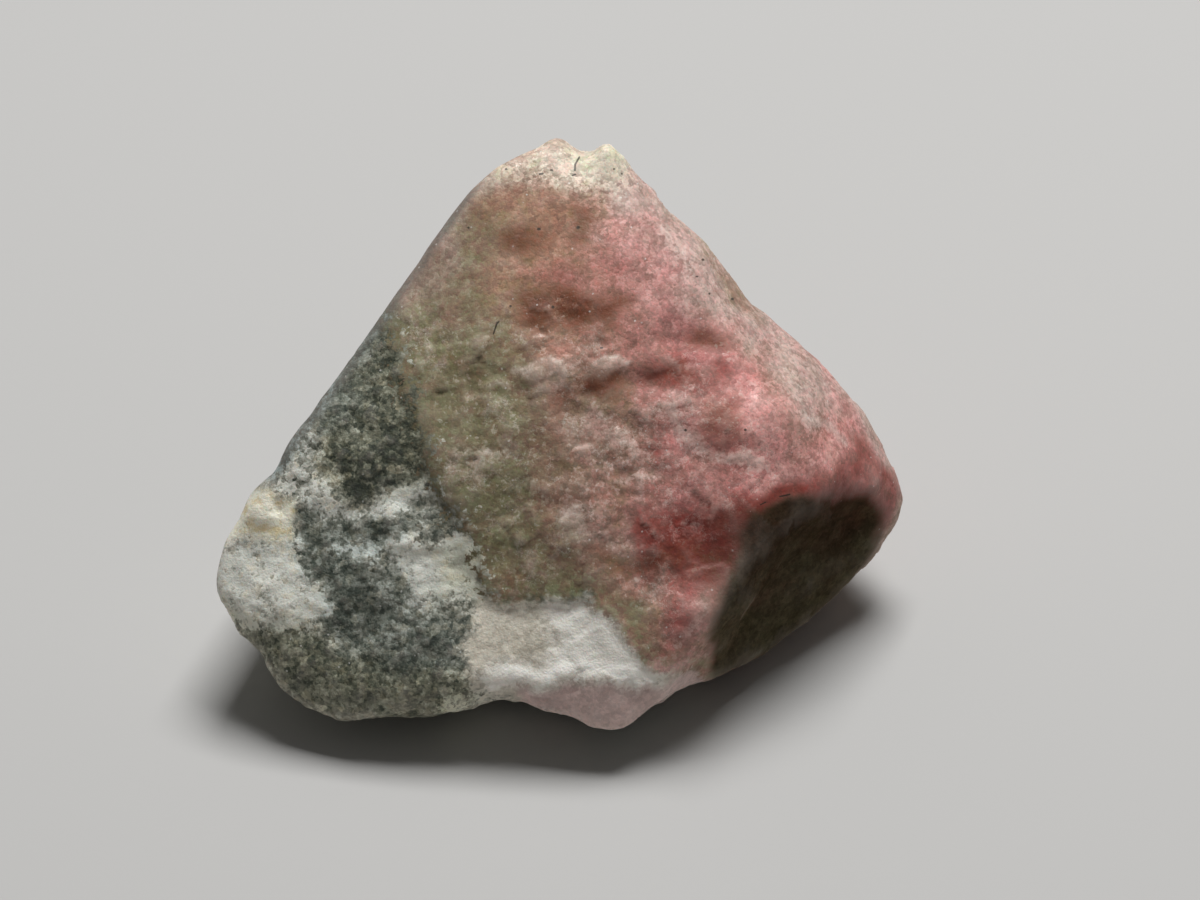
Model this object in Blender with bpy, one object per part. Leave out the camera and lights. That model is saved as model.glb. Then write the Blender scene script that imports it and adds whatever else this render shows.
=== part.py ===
"""One loose chip of tugtupite with its pale matrix, 22 mm across, lying on a flat broken face.

The stone is a single natural piece, so it is a single object. It is shaped the way it came to be:
a block bounded by broken faces, its edges worn round, then knobs, hollows and a ledge in the skin,
and last the flat break underneath that it lies on.

The front is described on the axes of its broad face, in millimetres: across (to the right), up
(along the face) and out (square to the face, forwards). That face leans back by FACE_LEAN.
The back is described on the standing axes: +X right, +Y back and +Z up, from the ground.
"""

import math

import bmesh
import bpy
import numpy as np
from mathutils import Matrix, Vector, noise

# ---- driving dimensions ----------------------------------------------------------------------
MM = 0.001  # the stone is worked out in millimetres and brought to metres at the end
STONE_NAME = "tugtupite_stone"
FACE_LEAN = math.radians(40.0)  # how far the broad face leans back from upright
FACE_HEIGHT = 8.5  # the broad face's middle, above the ground

SKIN_CELL = 0.30  # cell size of the even skin laid over the block of corners
WEAR_STEPS = 3  # how often each point moves towards the middle of its neighbours, to round edges
WEAR_SHARE = 0.5
LAST_WEAR_SHARE = 0.15  # the same once more at the end, to ease the points of small facets
SKIN_TRIANGLES = 10000  # before the foot is cut off

# Along the broad face's own edge, clockwise from the crown: (across, up, out).
RIM = [
    # the crown, with its two knobs
    (-3.50, 9.02, -0.5), (-2.55, 9.55, -0.9), (-1.45, 9.95, -1.9), (-0.85, 9.98, -2.2),
    (-0.45, 9.78, -1.7), (0.00, 9.84, -1.2), (0.42, 9.78, -1.2), (0.85, 9.36, -1.4),
    # down the right side to the tip
    (1.46, 8.56, -1.6), (2.27, 7.72, -1.8), (3.18, 6.92, -2.0), (3.74, 6.31, -2.1),
    (4.30, 5.41, -2.2), (4.70, 4.83, -2.3), (5.31, 4.47, -2.4), (6.07, 3.83, -2.6),
    (6.74, 3.26, -2.8), (7.51, 2.49, -3.2), (8.19, 1.73, -3.6), (8.87, 0.82, -4.2),
    (9.35, 0.05, -4.7), (9.73, -0.72, -5.2), (10.01, -1.54, -5.6), (9.84, -2.16, -5.8),
    # the underside edge, back to the lip
    (9.40, -2.93, -5.9), (8.83, -3.65, -5.7), (8.15, -4.41, -5.3), (7.10, -5.33, -4.6),
    (6.06, -6.13, -3.9), (5.20, -6.74, -3.2), (4.30, -7.23, -2.3), (3.58, -7.50, -1.3),
    (2.87, -7.62, -0.6), (2.17, -7.98, -0.2), (1.45, -8.38, 0.0), (1.02, -8.84, 0.1),
    (0.32, -9.02, 0.2), (-0.26, -8.86, 0.2), (-0.85, -8.56, 0.2), (-1.70, -8.40, 0.2),
    # the notch and the round foot of the matrix
    (-2.30, -8.12, 0.2), (-2.85, -7.98, 0.2), (-3.40, -8.08, 0.1), (-4.10, -8.34, 0.0),
    (-5.15, -8.55, -0.2), (-6.60, -8.58, -0.4), (-7.90, -8.74, -0.6), (-8.80, -8.60, -0.7),
    (-9.75, -8.16, -0.9), (-10.45, -7.50, -0.9), (-10.80, -6.80, -0.9), (-11.10, -6.30, -1.0),
    (-11.72, -5.80, -1.1), (-12.20, -4.95, -1.1), (-12.42, -4.20, -1.1), (-12.28, -3.35, -1.1),
    # up the straight left side
    (-11.95, -2.70, -1.3), (-11.45, -1.95, -0.9), (-10.78, -1.00, -0.6), (-9.90, 0.35, -0.5),
    (-8.65, 2.05, -0.5), (-7.05, 4.28, -0.5), (-5.75, 6.18, -0.4), (-4.50, 8.05, -0.4),
]

# Corners and swellings of the broad face inside its edge: (across, up, out).
FACE_CORNERS = [
    # below the crown, and the line where the right-hand band turns away
    (-3.00, 7.40, -0.05), (-1.20, 8.10, -0.20), (0.70, 7.50, -0.35), (2.40, 5.00, -0.05),
    (4.30, 2.60, 0.15), (6.20, 0.90, -0.25),
    # the middle of the face
    (-2.20, 3.00, 0.75), (-5.60, 2.60, 0.35), (1.30, 3.90, 0.55), (-1.00, -1.50, 0.95),
    (-5.50, -2.50, 0.60), (4.00, 0.90, 0.60),
    # the ridge over the right-hand facet, from its left end to the tip
    (4.45, -2.35, 0.75), (6.00, -2.20, -0.10), (7.40, -2.00, -1.00), (8.90, -1.80, -2.85),
    # the lobe left of that facet
    (4.35, -3.90, 0.55), (4.30, -5.40, 0.35), (3.95, -6.60, 0.05),
    # the ridge above the lip, and the round matrix end
    (0.60, -7.35, 0.65), (-3.40, -7.50, 0.50), (-7.20, -7.90, 0.00), (-9.50, -7.10, -0.35),
    (-11.20, -5.00, -0.60),
]

# Corners of the hidden sides and back: (right, back, up from the ground).
BACK_CORNERS = [
    (-1.6, 8.0, 13.4), (0.8, 8.6, 12.0),  # behind the crown
    (-4.2, 9.6, 7.6), (2.9, 9.6, 7.4), (-0.6, 10.4, 5.2),  # the middle of the back
    (6.2, 7.6, 4.6), (8.4, 5.6, 3.6),  # behind the tip
    (-7.8, 7.4, 4.4), (-10.6, 3.4, 3.6),  # behind the matrix end
]

# The foot, which the ground line then cuts flat: (right, back). FOOT_DEPTH is how far it goes below.
FOOT_CORNERS = [
    (-8.6, 0.2), (-5.0, -1.6), (0.6, -2.2), (4.6, -0.2), (6.0, 3.4), (3.6, 7.0), (-1.0, 8.8),
    (-5.6, 7.6), (-8.8, 4.2),
]
FOOT_DEPTH = 0.45
FOOT_SNAP = 0.03  # points nearer than this to the ground, or to each other there, become one

# Scoops left by flakes that broke away, each a cut with a round bottom. Each has a place, the way
# it runs, the way into the stone, and its half length, half width and depth. They are on the broad
# face's axes, and start from the point of the skin that is nearest to the place.
SCOOPS = {
    "facet under the tip": ((7.2, -4.2, -3.0), (0.72, 0.45, -0.53), (-0.69, 0.50, -0.52),
                            (6.2, 4.8, 0.45)),
    "hollow beside the lobe": ((2.80, -3.20, 0.75), (1.0, 0.12, 0.0), (0.0, 0.12, -1.0),
                               (2.3, 1.50, 0.24)),
    "notch in the pink band": ((2.05, 2.30, 0.70), (1.0, 0.25, 0.0), (0.1, 0.30, -1.0),
                               (1.20, 0.60, 0.26)),
    "upper notch in the band": ((3.15, 3.60, 0.40), (1.0, 0.40, 0.0), (0.1, 0.10, -1.0),
                                (1.10, 0.70, 0.13)),
    "stained dip high on the face": ((-2.30, 6.75, 0.10), (1.0, 0.45, 0.0), (0.0, 0.15, -1.0),
                                     (1.25, 0.70, 0.08)),
    "stained dip in the middle": ((-1.30, 4.45, 0.50), (1.0, 0.15, 0.0), (0.0, 0.25, -1.0),
                                  (1.20, 0.65, 0.14)),
    "flake scar left of the middle": ((-3.60, 1.30, 0.80), (0.5, 0.8, 0.0), (0.25, 0.10, -1.0),
                                      (1.05, 0.75, 0.10)),
    "flake scar in the middle": ((-0.60, 1.90, 0.85), (1.0, -0.1, 0.0), (0.0, 0.30, -1.0),
                                 (0.85, 0.55, 0.12)),
    "flake scar below the middle": ((-2.10, -1.40, 0.95), (1.0, 0.5, 0.0), (0.0, 0.2, -1.0),
                                    (1.20, 0.80, 0.10)),
    "dark dip in the matrix": ((-6.00, -0.70, 0.45), (0.5, 1.0, 0.0), (0.2, 0.1, -1.0),
                               (1.60, 1.00, 0.14)),
    "lower dip in the matrix": ((-7.60, -5.20, 0.10), (1.0, 0.5, 0.0), (0.1, 0.2, -1.0),
                                (1.60, 0.90, 0.16)),
    "scar in the straight side": ((-9.20, 2.40, -2.80), (0.60, 0.80, 0.0), (0.78, -0.6, 0.1),
                                  (3.40, 1.90, 0.35)),
    "back scar over the left edge": ((-8.6, 3.4, -6.2), (0.5, 0.8, 0.5), (0.75, -0.2, 0.65),
                                     (5.0, 3.2, 0.70)),
    "back scar over the right edge": ((6.2, 0.8, -8.6), (0.6, -0.8, 0.1), (-0.65, -0.1, 0.75),
                                      (3.4, 2.3, 0.60)),
    "back scar over the foot": ((-1.6, 1.6, -10.8), (1.0, 0.1, 0.0), (0.1, -0.45, 0.9),
                                (4.8, 2.6, 0.60)),
    "back scar below the crown": ((2.2, 7.4, -5.2), (0.8, -0.5, 0.0), (-0.35, -0.45, 0.8),
                                  (3.6, 2.2, 0.50)),
}
SCOOP_ROUNDNESS = 1.7  # 1 gives upright walls, and more than that gives flatter ones

# Knobs (outwards) and dips (inwards) in the skin. Each is a place and reach on the face's axes,
# (across, up, out), and the push at its middle on the same axes.
KNOBS_AND_DIPS = {
    "lobe": ((3.1, -5.4, 0.3), (1.3, 1.7, 1.6), (0.10, -0.05, 0.14)),
    "left crown knob": ((-0.95, 9.7, -2.1), (0.9, 0.9, 1.3), (0.0, 0.15, 0.30)),
    "right crown knob": ((0.30, 9.3, -0.9), (1.0, 1.0, 1.1), (0.0, 0.06, 0.14)),
    "crown saddle": ((-0.45, 9.3, -0.9), (0.6, 0.9, 1.0), (0.0, 0.0, -0.08)),
    "upper dome": ((-0.4, 5.9, 0.2), (2.4, 1.9, 1.8), (0.0, 0.0, 0.16)),
    "pink shoulder": ((4.9, 0.9, 0.1), (2.3, 1.7, 1.8), (0.15, 0.1, 0.26)),
    "left flake": ((-1.75, 2.55, 0.8), (0.9, 0.7, 1.5), (0.0, 0.04, 0.11)),
    "right flake": ((0.20, 2.75, 0.7), (0.9, 0.5, 1.5), (0.0, 0.04, 0.10)),
    "matrix swelling": ((-6.3, -2.4, 0.4), (1.9, 0.9, 1.5), (0.0, 0.0, 0.06)),
    "cream knob": ((-10.8, -2.2, -0.6), (1.0, 0.7, 1.2), (0.0, 0.0, 0.20)),
    "pale matrix end": ((-10.4, -4.9, -0.4), (1.6, 1.3, 1.5), (0.0, 0.0, 0.16)),
}
WANDER_SIZE = 1.6  # how far apart the bends are that make scoops and knobs irregular
WANDER = 0.30

# The ledge along which the tugtupite stands proud of its matrix: (across, up) points on the face,
# and how far the matrix lies below the tugtupite there.
LEDGE_LINE = [
    (-7.3, 3.4, 0.04), (-6.3, 2.1, 0.10), (-5.7, 0.6, 0.16), (-5.5, -0.9, 0.10),
    (-4.8, -1.6, 0.22), (-4.5, -2.6, 0.16), (-4.0, -3.6, 0.22), (-3.8, -4.4, 0.20),
    (-3.1, -4.8, 0.16), (-1.7, -4.7, 0.12), (-0.6, -4.7, 0.12), (-0.1, -5.3, 0.08),
    (0.7, -6.1, 0.07), (1.5, -6.8, 0.05),
]
LEDGE_WIDTH = 0.25
LEDGE_REACH = 3.2  # how far from the line the drop fades out

# Weathering: (size of the undulations, height), largest first.
ROUGHNESS = [(3.6, 0.20), (1.5, 0.085), (0.75, 0.045)]
# The back and sides are fresher breaks: rougher, and stepped along the grain of the crystals.
BACK_ROUGHNESS = 1.8  # times the front's
# One long straight break bounds the stone at the upper left, and is smoother than anything else.
STRAIGHT_SIDE = (-0.82, 0.57, 0.0)  # the way it looks, on the broad face's axes
STRAIGHT_SIDE_ROUGHNESS = 0.3  # times what it would have otherwise
BREAK_STEP = 3.4  # from one step to the next
BREAK_STEP_HEIGHT = 0.34
BREAK_GRAIN = (0.80, 0.35, 0.48)  # the standing direction in which the steps follow each other
BREAK_WANDER = 3.4
BREAK_WANDER_SIZE = 4.5


# ---- axes -------------------------------------------------------------------------------------
FACE_AXES = np.array(
    [
        (1.0, 0.0, 0.0),
        (0.0, math.sin(FACE_LEAN), math.cos(FACE_LEAN)),
        (0.0, -math.cos(FACE_LEAN), math.sin(FACE_LEAN)),
    ]
)
FACE_MIDDLE = np.array((0.0, 0.0, FACE_HEIGHT))


def standing(on_face):
    """Points given on the broad face's axes, on the standing axes."""
    return np.asarray(on_face, float) @ FACE_AXES + FACE_MIDDLE


def on_face(points):
    """Points given on the standing axes, on the broad face's axes."""
    return (np.asarray(points, float) - FACE_MIDDLE) @ FACE_AXES.T


def ease(x):
    """0 below 0, 1 above 1, and a smooth turn between."""
    t = np.clip(x, 0.0, 1.0)
    return t * t * (3.0 - 2.0 * t)


# ---- the block ----------------------------------------------------------------------------------
def block_of_corners():
    """The smallest block that holds every listed corner: its sides are the broken faces."""
    foot = [(right, back, -FOOT_DEPTH) for right, back in FOOT_CORNERS]
    corners = [*standing(RIM + FACE_CORNERS), *BACK_CORNERS, *foot]
    block = bmesh.new()
    for corner in corners:
        block.verts.new(corner)
    hull = bmesh.ops.convex_hull(block, input=block.verts[:])
    loose = {piece for piece in hull["geom_interior"] if isinstance(piece, bmesh.types.BMVert)}
    bmesh.ops.delete(block, geom=list(loose), context="VERTS")
    bmesh.ops.recalc_face_normals(block, faces=block.faces[:])
    mesh = bpy.data.meshes.new(STONE_NAME)
    block.to_mesh(mesh)
    block.free()
    return mesh


def applied(obj, modifier_type, **settings):
    """Runs one modifier on the object and keeps its result as the object's mesh."""
    modifier = obj.modifiers.new(modifier_type.lower(), modifier_type)
    for name, value in settings.items():
        setattr(modifier, name, value)
    bpy.context.view_layer.update()
    graph = bpy.context.evaluated_depsgraph_get()
    made = bpy.data.meshes.new_from_object(obj.evaluated_get(graph))
    obj.modifiers.clear()
    worn_out, obj.data = obj.data, made
    bpy.data.meshes.remove(worn_out)


def read_points(mesh):
    points = np.empty(len(mesh.vertices) * 3)
    mesh.vertices.foreach_get("co", points)
    return points.reshape(-1, 3)


def read_normals(mesh):
    normals = np.empty(len(mesh.vertices) * 3)
    mesh.vertices.foreach_get("normal", normals)
    return normals.reshape(-1, 3)


def write_points(mesh, points):
    """Writes the points to the nearest tenth of a micrometre, so that every run ends the same."""
    mesh.vertices.foreach_set("co", np.round(points, 4).astype(np.float32).ravel())
    mesh.update()


# ---- the skin -----------------------------------------------------------------------------------
def wear_edges(mesh, steps, share):
    """Rounds the edges: each point moves this share of the way to the middle of its neighbours."""
    worn = bmesh.new()
    worn.from_mesh(mesh)
    for _ in range(steps):
        bmesh.ops.smooth_vert(
            worn, verts=worn.verts[:], factor=share,
            use_axis_x=True, use_axis_y=True, use_axis_z=True,
        )
    worn.to_mesh(mesh)
    worn.free()


def undulation(places, size, offset=0.0):
    """Smooth noise between -1 and 1 at each place, with hills about `size` apart."""
    shift = Vector((offset, -offset, 2.0 * offset))
    return np.array([noise.noise(Vector(place) / size + shift) for place in places])


def wandering(placed):
    """The same places moved a little this way and that, so that what is shaped by them wanders."""
    bends = [undulation(placed, WANDER_SIZE, offset) for offset in (11.3, 27.1, 45.7)]
    return placed + WANDER * np.column_stack(bends)


def break_scoops(mesh):
    """Moves what lies inside each scoop's ellipsoid down to its bottom."""
    placed = on_face(read_points(mesh))
    for place, along, into, (half_length, half_width, depth) in SCOOPS.values():
        middle = placed[np.argmin(np.linalg.norm(placed - place, axis=1))]
        into = Vector(into).normalized()
        along = Vector(along)
        along = (along - along.dot(into) * into).normalized()
        frame = np.array((along, into.cross(along), into))
        tall = SCOOP_ROUNDNESS * depth
        share = math.sqrt(1.0 - (1.0 - 1.0 / SCOOP_ROUNDNESS) ** 2)
        centre = middle - (tall - depth) * frame[2]
        radii = np.array((half_length / share, half_width / share, tall))
        inside = (wandering(placed) - centre) @ frame.T / radii
        room = 1.0 - inside[:, 0] ** 2 - inside[:, 1] ** 2
        bottom = np.sqrt(np.clip(room, 0.0, None))
        deep = (room > 0.0) & (inside[:, 2] < bottom)
        placed += np.outer(np.where(deep, bottom - inside[:, 2], 0.0) * tall, frame[2])
    write_points(mesh, standing(placed))


def push_knobs_and_dips(mesh):
    placed = on_face(read_points(mesh))
    wandered = wandering(placed)
    for middle, reach, push in KNOBS_AND_DIPS.values():
        away = np.linalg.norm((wandered - middle) / reach, axis=1)
        placed += np.outer(ease(1.0 - away), push)
    write_points(mesh, standing(placed))


def beside_ledge(places):
    """How far each (across, up) place is from the ledge line, above 0 on the tugtupite's side, and
    the drop at the nearest point of the line."""
    nearest = np.full(len(places), np.inf)
    side = np.zeros(len(places))
    drop = np.zeros(len(places))
    line = np.array(LEDGE_LINE)
    for start, end in zip(line[:-1], line[1:]):
        run = (end - start)[:2]
        share = np.clip((places - start[:2]) @ run / (run @ run), 0.0, 1.0)
        gap = places - (start[:2] + share[:, None] * run)
        away = np.linalg.norm(gap, axis=1)
        closer = away < nearest
        nearest = np.where(closer, away, nearest)
        side = np.where(closer, np.sign(run[0] * gap[:, 1] - run[1] * gap[:, 0]), side)
        drop = np.where(closer, start[2] + share * (end - start)[2], drop)
    return side * nearest, drop


def drop_matrix(mesh):
    """Lowers the matrix below the tugtupite along the ledge line, on the front only."""
    points, normals = read_points(mesh), read_normals(mesh)
    facing = ease((normals @ FACE_AXES[2] - 0.2) / 0.4)
    side, drop = beside_ledge(wandering(on_face(points))[:, :2])
    step = ease(-side / LEDGE_WIDTH) * (1.0 - ease(-side / LEDGE_REACH))
    write_points(mesh, points - np.outer(drop * step * facing, FACE_AXES[2]))


def roughen(mesh):
    """Weathering all over, and the stepped breaks of the back and sides."""
    points, normals = read_points(mesh), read_normals(mesh)
    behind = ease((0.15 - normals @ FACE_AXES[2]) / 0.5)
    height = sum(tall * undulation(points, size) for size, tall in ROUGHNESS)
    height *= 1.0 + (BACK_ROUGHNESS - 1.0) * behind
    bends = undulation(points, BREAK_WANDER_SIZE)
    share = (points @ np.array(BREAK_GRAIN) + BREAK_WANDER * bends) / BREAK_STEP % 1.0
    ramp = np.where(share < 0.9, share / 0.9, (1.0 - share) / 0.1) - 0.5
    patches = ease(0.6 + 1.6 * undulation(points, BREAK_WANDER_SIZE, 5.9))
    height += BREAK_STEP_HEIGHT * ramp * behind * patches
    straight = ease((normals @ FACE_AXES.T @ np.array(STRAIGHT_SIDE) - 0.3) / 0.4)
    height *= 1.0 - (1.0 - STRAIGHT_SIDE_ROUGHNESS) * straight
    write_points(mesh, points + normals * height[:, None])


# ---- the outline ---------------------------------------------------------------------------------
RIM_MIDDLE = np.array((-1.4, -0.6))  # the rim can be seen from here all the way round
FIT_SLICES = 150
FIT_FROM = 0.55  # the share of the way out to the rim at which the fitting starts
FIT_BAND = 0.5  # how far in front of and behind the outermost points it is in full force
FIT_FADE = 2.5  # and over what distance it fades out
FIT_EVENING = 1  # how often the fitting is evened out along the rim


def rim_radius(angles):
    """How far the rim is from its middle in these directions."""
    ring = np.array(RIM)[:, :2] - RIM_MIDDLE
    turn = np.arctan2(ring[:, 1], ring[:, 0])
    order = np.argsort(turn)
    ring, turn = ring[order], turn[order]
    first = (np.searchsorted(turn, angles) - 1) % len(ring)
    start, run = ring[first], ring[(first + 1) % len(ring)] - ring[first]
    over = start[:, 0] * run[:, 1] - start[:, 1] * run[:, 0]
    under = np.cos(angles) * run[:, 1] - np.sin(angles) * run[:, 0]
    return over / under


def evened(ring):
    """A closed ring of values, each drawn towards its neighbours."""
    for _ in range(FIT_EVENING):
        ring = 0.5 * ring + 0.25 * (np.roll(ring, 1) + np.roll(ring, -1))
    return ring


def fit_to_rim(mesh):
    """Draws the skin out to the listed rim, all the way round, as seen square to the broad face."""
    placed = on_face(read_points(mesh))
    spoke = placed[:, :2] - RIM_MIDDLE
    angles = np.arctan2(spoke[:, 1], spoke[:, 0])
    radii = np.linalg.norm(spoke, axis=1)
    slices = ((angles + math.pi) / (2 * math.pi) * FIT_SLICES).astype(int) % FIT_SLICES
    outermost = np.array([np.argmax(radii * (slices == piece)) for piece in range(FIT_SLICES)])
    middles = (np.arange(FIT_SLICES) + 0.5) / FIT_SLICES * 2 * math.pi - math.pi
    stretch = evened(rim_radius(middles) / radii[outermost])
    factor = np.interp(angles, middles, stretch, period=2 * math.pi)
    level = np.interp(angles, middles, evened(placed[outermost, 2]), period=2 * math.pi)
    share = ease((radii / rim_radius(angles) - FIT_FROM) / (1.0 - FIT_FROM))
    share *= 1.0 - ease((np.abs(placed[:, 2] - level) - FIT_BAND) / FIT_FADE)
    placed[:, :2] = RIM_MIDDLE + spoke * (1.0 + (factor - 1.0) * share)[:, None]
    write_points(mesh, standing(placed))


# ---- the foot ------------------------------------------------------------------------------------
def break_foot_flat(mesh):
    """Cuts off what reaches below the ground, which leaves the flat face that the stone lies on."""
    cut = bmesh.new()
    cut.from_mesh(mesh)
    for vert in cut.verts:
        if abs(vert.co.z) < FOOT_SNAP:
            vert.co.z = 0.0
    bmesh.ops.bisect_plane(
        cut, geom=cut.verts[:] + cut.edges[:] + cut.faces[:], dist=0.0001,
        plane_co=(0, 0, 0), plane_no=(0, 0, 1), clear_inner=True,
    )
    bmesh.ops.remove_doubles(cut, verts=cut.verts[:], dist=FOOT_SNAP)
    loose = [vert for vert in cut.verts if not vert.link_faces]
    bmesh.ops.delete(cut, geom=loose, context="VERTS")
    bmesh.ops.holes_fill(cut, edges=[edge for edge in cut.edges if edge.is_boundary])
    bmesh.ops.triangulate(cut, faces=cut.faces[:])
    bmesh.ops.recalc_face_normals(cut, faces=cut.faces[:])
    cut.to_mesh(mesh)
    cut.free()


def settle_on_origin(mesh):
    """Puts the middle of the stone's box over the origin, and brings millimetres to metres."""
    points = read_points(mesh)
    low, high = points.min(axis=0), points.max(axis=0)
    shift = np.array(((low[0] + high[0]) / 2, (low[1] + high[1]) / 2, low[2]))
    print("face middle on the stone's axes, mm:", np.round(FACE_MIDDLE - shift, 3))
    print("stone, mm:", np.round(high - low, 2))
    mesh.transform(Matrix.Scale(MM, 4) @ Matrix.Translation(Vector(-shift)))


# ---- the finish ----------------------------------------------------------------------------------
def stone_finish():
    finish = bpy.data.materials.new("tugtupite")
    finish.use_nodes = True
    shader = finish.node_tree.nodes["Principled BSDF"]
    shader.inputs["Base Color"].default_value = (0.62, 0.44, 0.40, 1.0)
    shader.inputs["Roughness"].default_value = 0.55
    return finish


def make_stone():
    stone = bpy.data.objects.new(STONE_NAME, block_of_corners())
    bpy.context.scene.collection.objects.link(stone)
    applied(stone, "REMESH", mode="VOXEL", voxel_size=SKIN_CELL)
    break_scoops(stone.data)
    applied(stone, "REMESH", mode="VOXEL", voxel_size=SKIN_CELL)
    wear_edges(stone.data, WEAR_STEPS, WEAR_SHARE)
    push_knobs_and_dips(stone.data)
    drop_matrix(stone.data)
    fit_to_rim(stone.data)
    roughen(stone.data)
    for _ in range(3):
        fit_to_rim(stone.data)
    applied(stone, "TRIANGULATE")
    share = min(1.0, SKIN_TRIANGLES / len(stone.data.polygons))
    applied(stone, "DECIMATE", ratio=share)
    wear_edges(stone.data, 1, LAST_WEAR_SHARE)
    fit_to_rim(stone.data)
    break_foot_flat(stone.data)
    settle_on_origin(stone.data)
    stone.data.shade_smooth()
    stone.data.materials.append(stone_finish())
    return stone


for leftover in list(bpy.data.objects):
    bpy.data.objects.remove(leftover)
make_stone()
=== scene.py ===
# %% [markdown]
# # A tugtupite specimen, finished in Blender
#
# Tugtupite is a rose-red to brownish-pink mineral that grows in veins through a pale grey rock.
# This lesson takes a small hand specimen, about 22 mm across, that has been broken off by hand:
# two thirds of it is sugary tugtupite, the left end is black-speckled rock, and a white vein runs
# along its lower edge.
#
# The big shape is already modelled and fixed. What is made here is everything that is seen
# from a step nearer: the broken skin of the crystals, the edges of the flakes, the colours that
# melt into each other, the dark grains, and the glints.

# %% The fixed model
import functools
import math

import bpy
import numpy as np
from mathutils import Matrix, Vector, noise


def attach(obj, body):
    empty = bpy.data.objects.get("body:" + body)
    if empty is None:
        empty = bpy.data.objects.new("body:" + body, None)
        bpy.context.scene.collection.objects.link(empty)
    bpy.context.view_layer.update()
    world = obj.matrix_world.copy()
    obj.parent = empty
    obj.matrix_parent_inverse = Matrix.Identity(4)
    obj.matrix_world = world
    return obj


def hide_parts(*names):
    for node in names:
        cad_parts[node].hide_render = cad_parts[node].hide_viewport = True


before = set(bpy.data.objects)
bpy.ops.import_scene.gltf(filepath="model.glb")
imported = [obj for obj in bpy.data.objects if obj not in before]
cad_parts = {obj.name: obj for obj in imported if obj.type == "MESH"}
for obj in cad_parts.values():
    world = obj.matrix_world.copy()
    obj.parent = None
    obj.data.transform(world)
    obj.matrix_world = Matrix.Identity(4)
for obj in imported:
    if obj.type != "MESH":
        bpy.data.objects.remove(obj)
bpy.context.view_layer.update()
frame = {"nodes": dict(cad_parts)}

# %% [markdown]
# ## The specimen's own axes
#
# The stone rests leaning back by 40 degrees, so "left" and "up" on its broken face are not
# the directions of the room. Nearly everything on it is easier to place on the face itself:
# so many millimetres across, so many up, and so many out of the face. These three axes are
# used for the camera, for the relief and for the colours, so that all of them agree.

# %% Axes of the face, in millimetres
LEAN = math.radians(40.0)
FACE_MIDDLE = Vector((1.193, -2.215, 8.5))
ACROSS = Vector((1.0, 0.0, 0.0))
UP = Vector((0.0, math.sin(LEAN), math.cos(LEAN)))
OUT = Vector((0.0, -math.cos(LEAN), math.sin(LEAN)))


def on_face(points):
    """Standing points in mm, as (across, up, out) measured from the middle of the face."""
    x, y, z = (points - np.array(FACE_MIDDLE)).T
    return np.stack([x, y * UP.y + z * UP.z, y * OUT.y + z * OUT.z], axis=1)


print("the face looks along", [round(v, 3) for v in OUT])

# %% [markdown]
# ## Camera
#
# A specimen this small is looked at square on to its best face, through a long lens, so that the
# near edges don't swell. The camera therefore sits on the face's "out" axis, and its own
# axes are simply the face's axes.

# %% Camera
CAMERA_DISTANCE = 0.2126

lens = bpy.data.cameras.new("long lens")
lens.lens = 200.0
lens.sensor_width = 36.0
lens.clip_start = 0.001
camera = bpy.data.objects.new("camera", lens)
camera.matrix_world = (
    Matrix.Translation(FACE_MIDDLE / 1000 + OUT * CAMERA_DISTANCE)
    @ Matrix((ACROSS, UP, OUT)).transposed().to_4x4()
)
bpy.context.scene.collection.objects.link(camera)
bpy.context.scene.camera = camera
bpy.context.scene.view_settings.view_transform = "Standard"
print("camera at", [round(v, 4) for v in camera.matrix_world.translation])

# %% [markdown]
# ## Light and floor
#
# Rough stone needs light that grazes it a little, or its small relief vanishes, and yet a hard
# lamp would fill it with black pits. One soft lamp above and a little to the right does it,
# with a weak white sky to open the shadows. The floor is a plain pale sheet.


# %% Soft lamp, weak sky and pale floor
def soft_lamp(name, place, aim, width, watts):
    """A square area lamp at one point that looks at another."""
    light = bpy.data.lights.new(name, "AREA")
    light.size = width
    light.energy = watts
    lamp = bpy.data.objects.new(name, light)
    lamp.location = place
    lamp.rotation_euler = (Vector(aim) - Vector(place)).to_track_quat("-Z", "Y").to_euler()
    bpy.context.scene.collection.objects.link(lamp)


soft_lamp("high soft lamp", place=(0.03, 0.08, 0.25), aim=(0.0, 0.0, 0.007), width=0.12, watts=0.77)

sky = bpy.data.worlds.new("weak sky")
sky.use_nodes = True
background = sky.node_tree.nodes["Background"].inputs
background["Color"].default_value = (1.0, 0.99, 0.97, 1.0)
background["Strength"].default_value = 0.11
bpy.context.scene.world = sky

FLOOR_HALF = 0.6
corners = [(x * FLOOR_HALF, y * FLOOR_HALF, 0) for x, y in ((-1, -1), (1, -1), (1, 1), (-1, 1))]
sheet = bpy.data.meshes.new("pale floor")
sheet.from_pydata(corners, [], [(0, 1, 2, 3)])
floor = bpy.data.objects.new("pale floor", sheet)
bpy.context.scene.collection.objects.link(floor)
paper = bpy.data.materials.new("pale paper")
paper.use_nodes = True
coat = paper.node_tree.nodes["Principled BSDF"].inputs
coat["Base Color"].default_value = (0.50, 0.495, 0.485, 1.0)
coat["Roughness"].default_value = 0.9
sheet.materials.append(paper)
print("one lamp, one sky, one floor")

# %% [markdown]
# ## A skin fine enough to carve
#
# The modelled solid has triangles about half a millimetre long: enough for its lumps and
# ledges, too coarse for broken crystals. Its shape is copied into a new mesh and rebuilt as an
# even net of small squares with Blender's Voxel Remesh. A few rounds of smoothing then melt
# the old triangles away, and what is left is a clean skin to carve. The work is done
# in millimetres, so that every number below is a size that could be measured on the stone.

# %% Copy the solid and rebuild its skin
SKIN_MESH = 0.118  # mm between the points of the net
SKIN_SMOOTHING = 14  # rounds

node_name = next(iter(frame["nodes"]))
solid = frame["nodes"][node_name]


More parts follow.
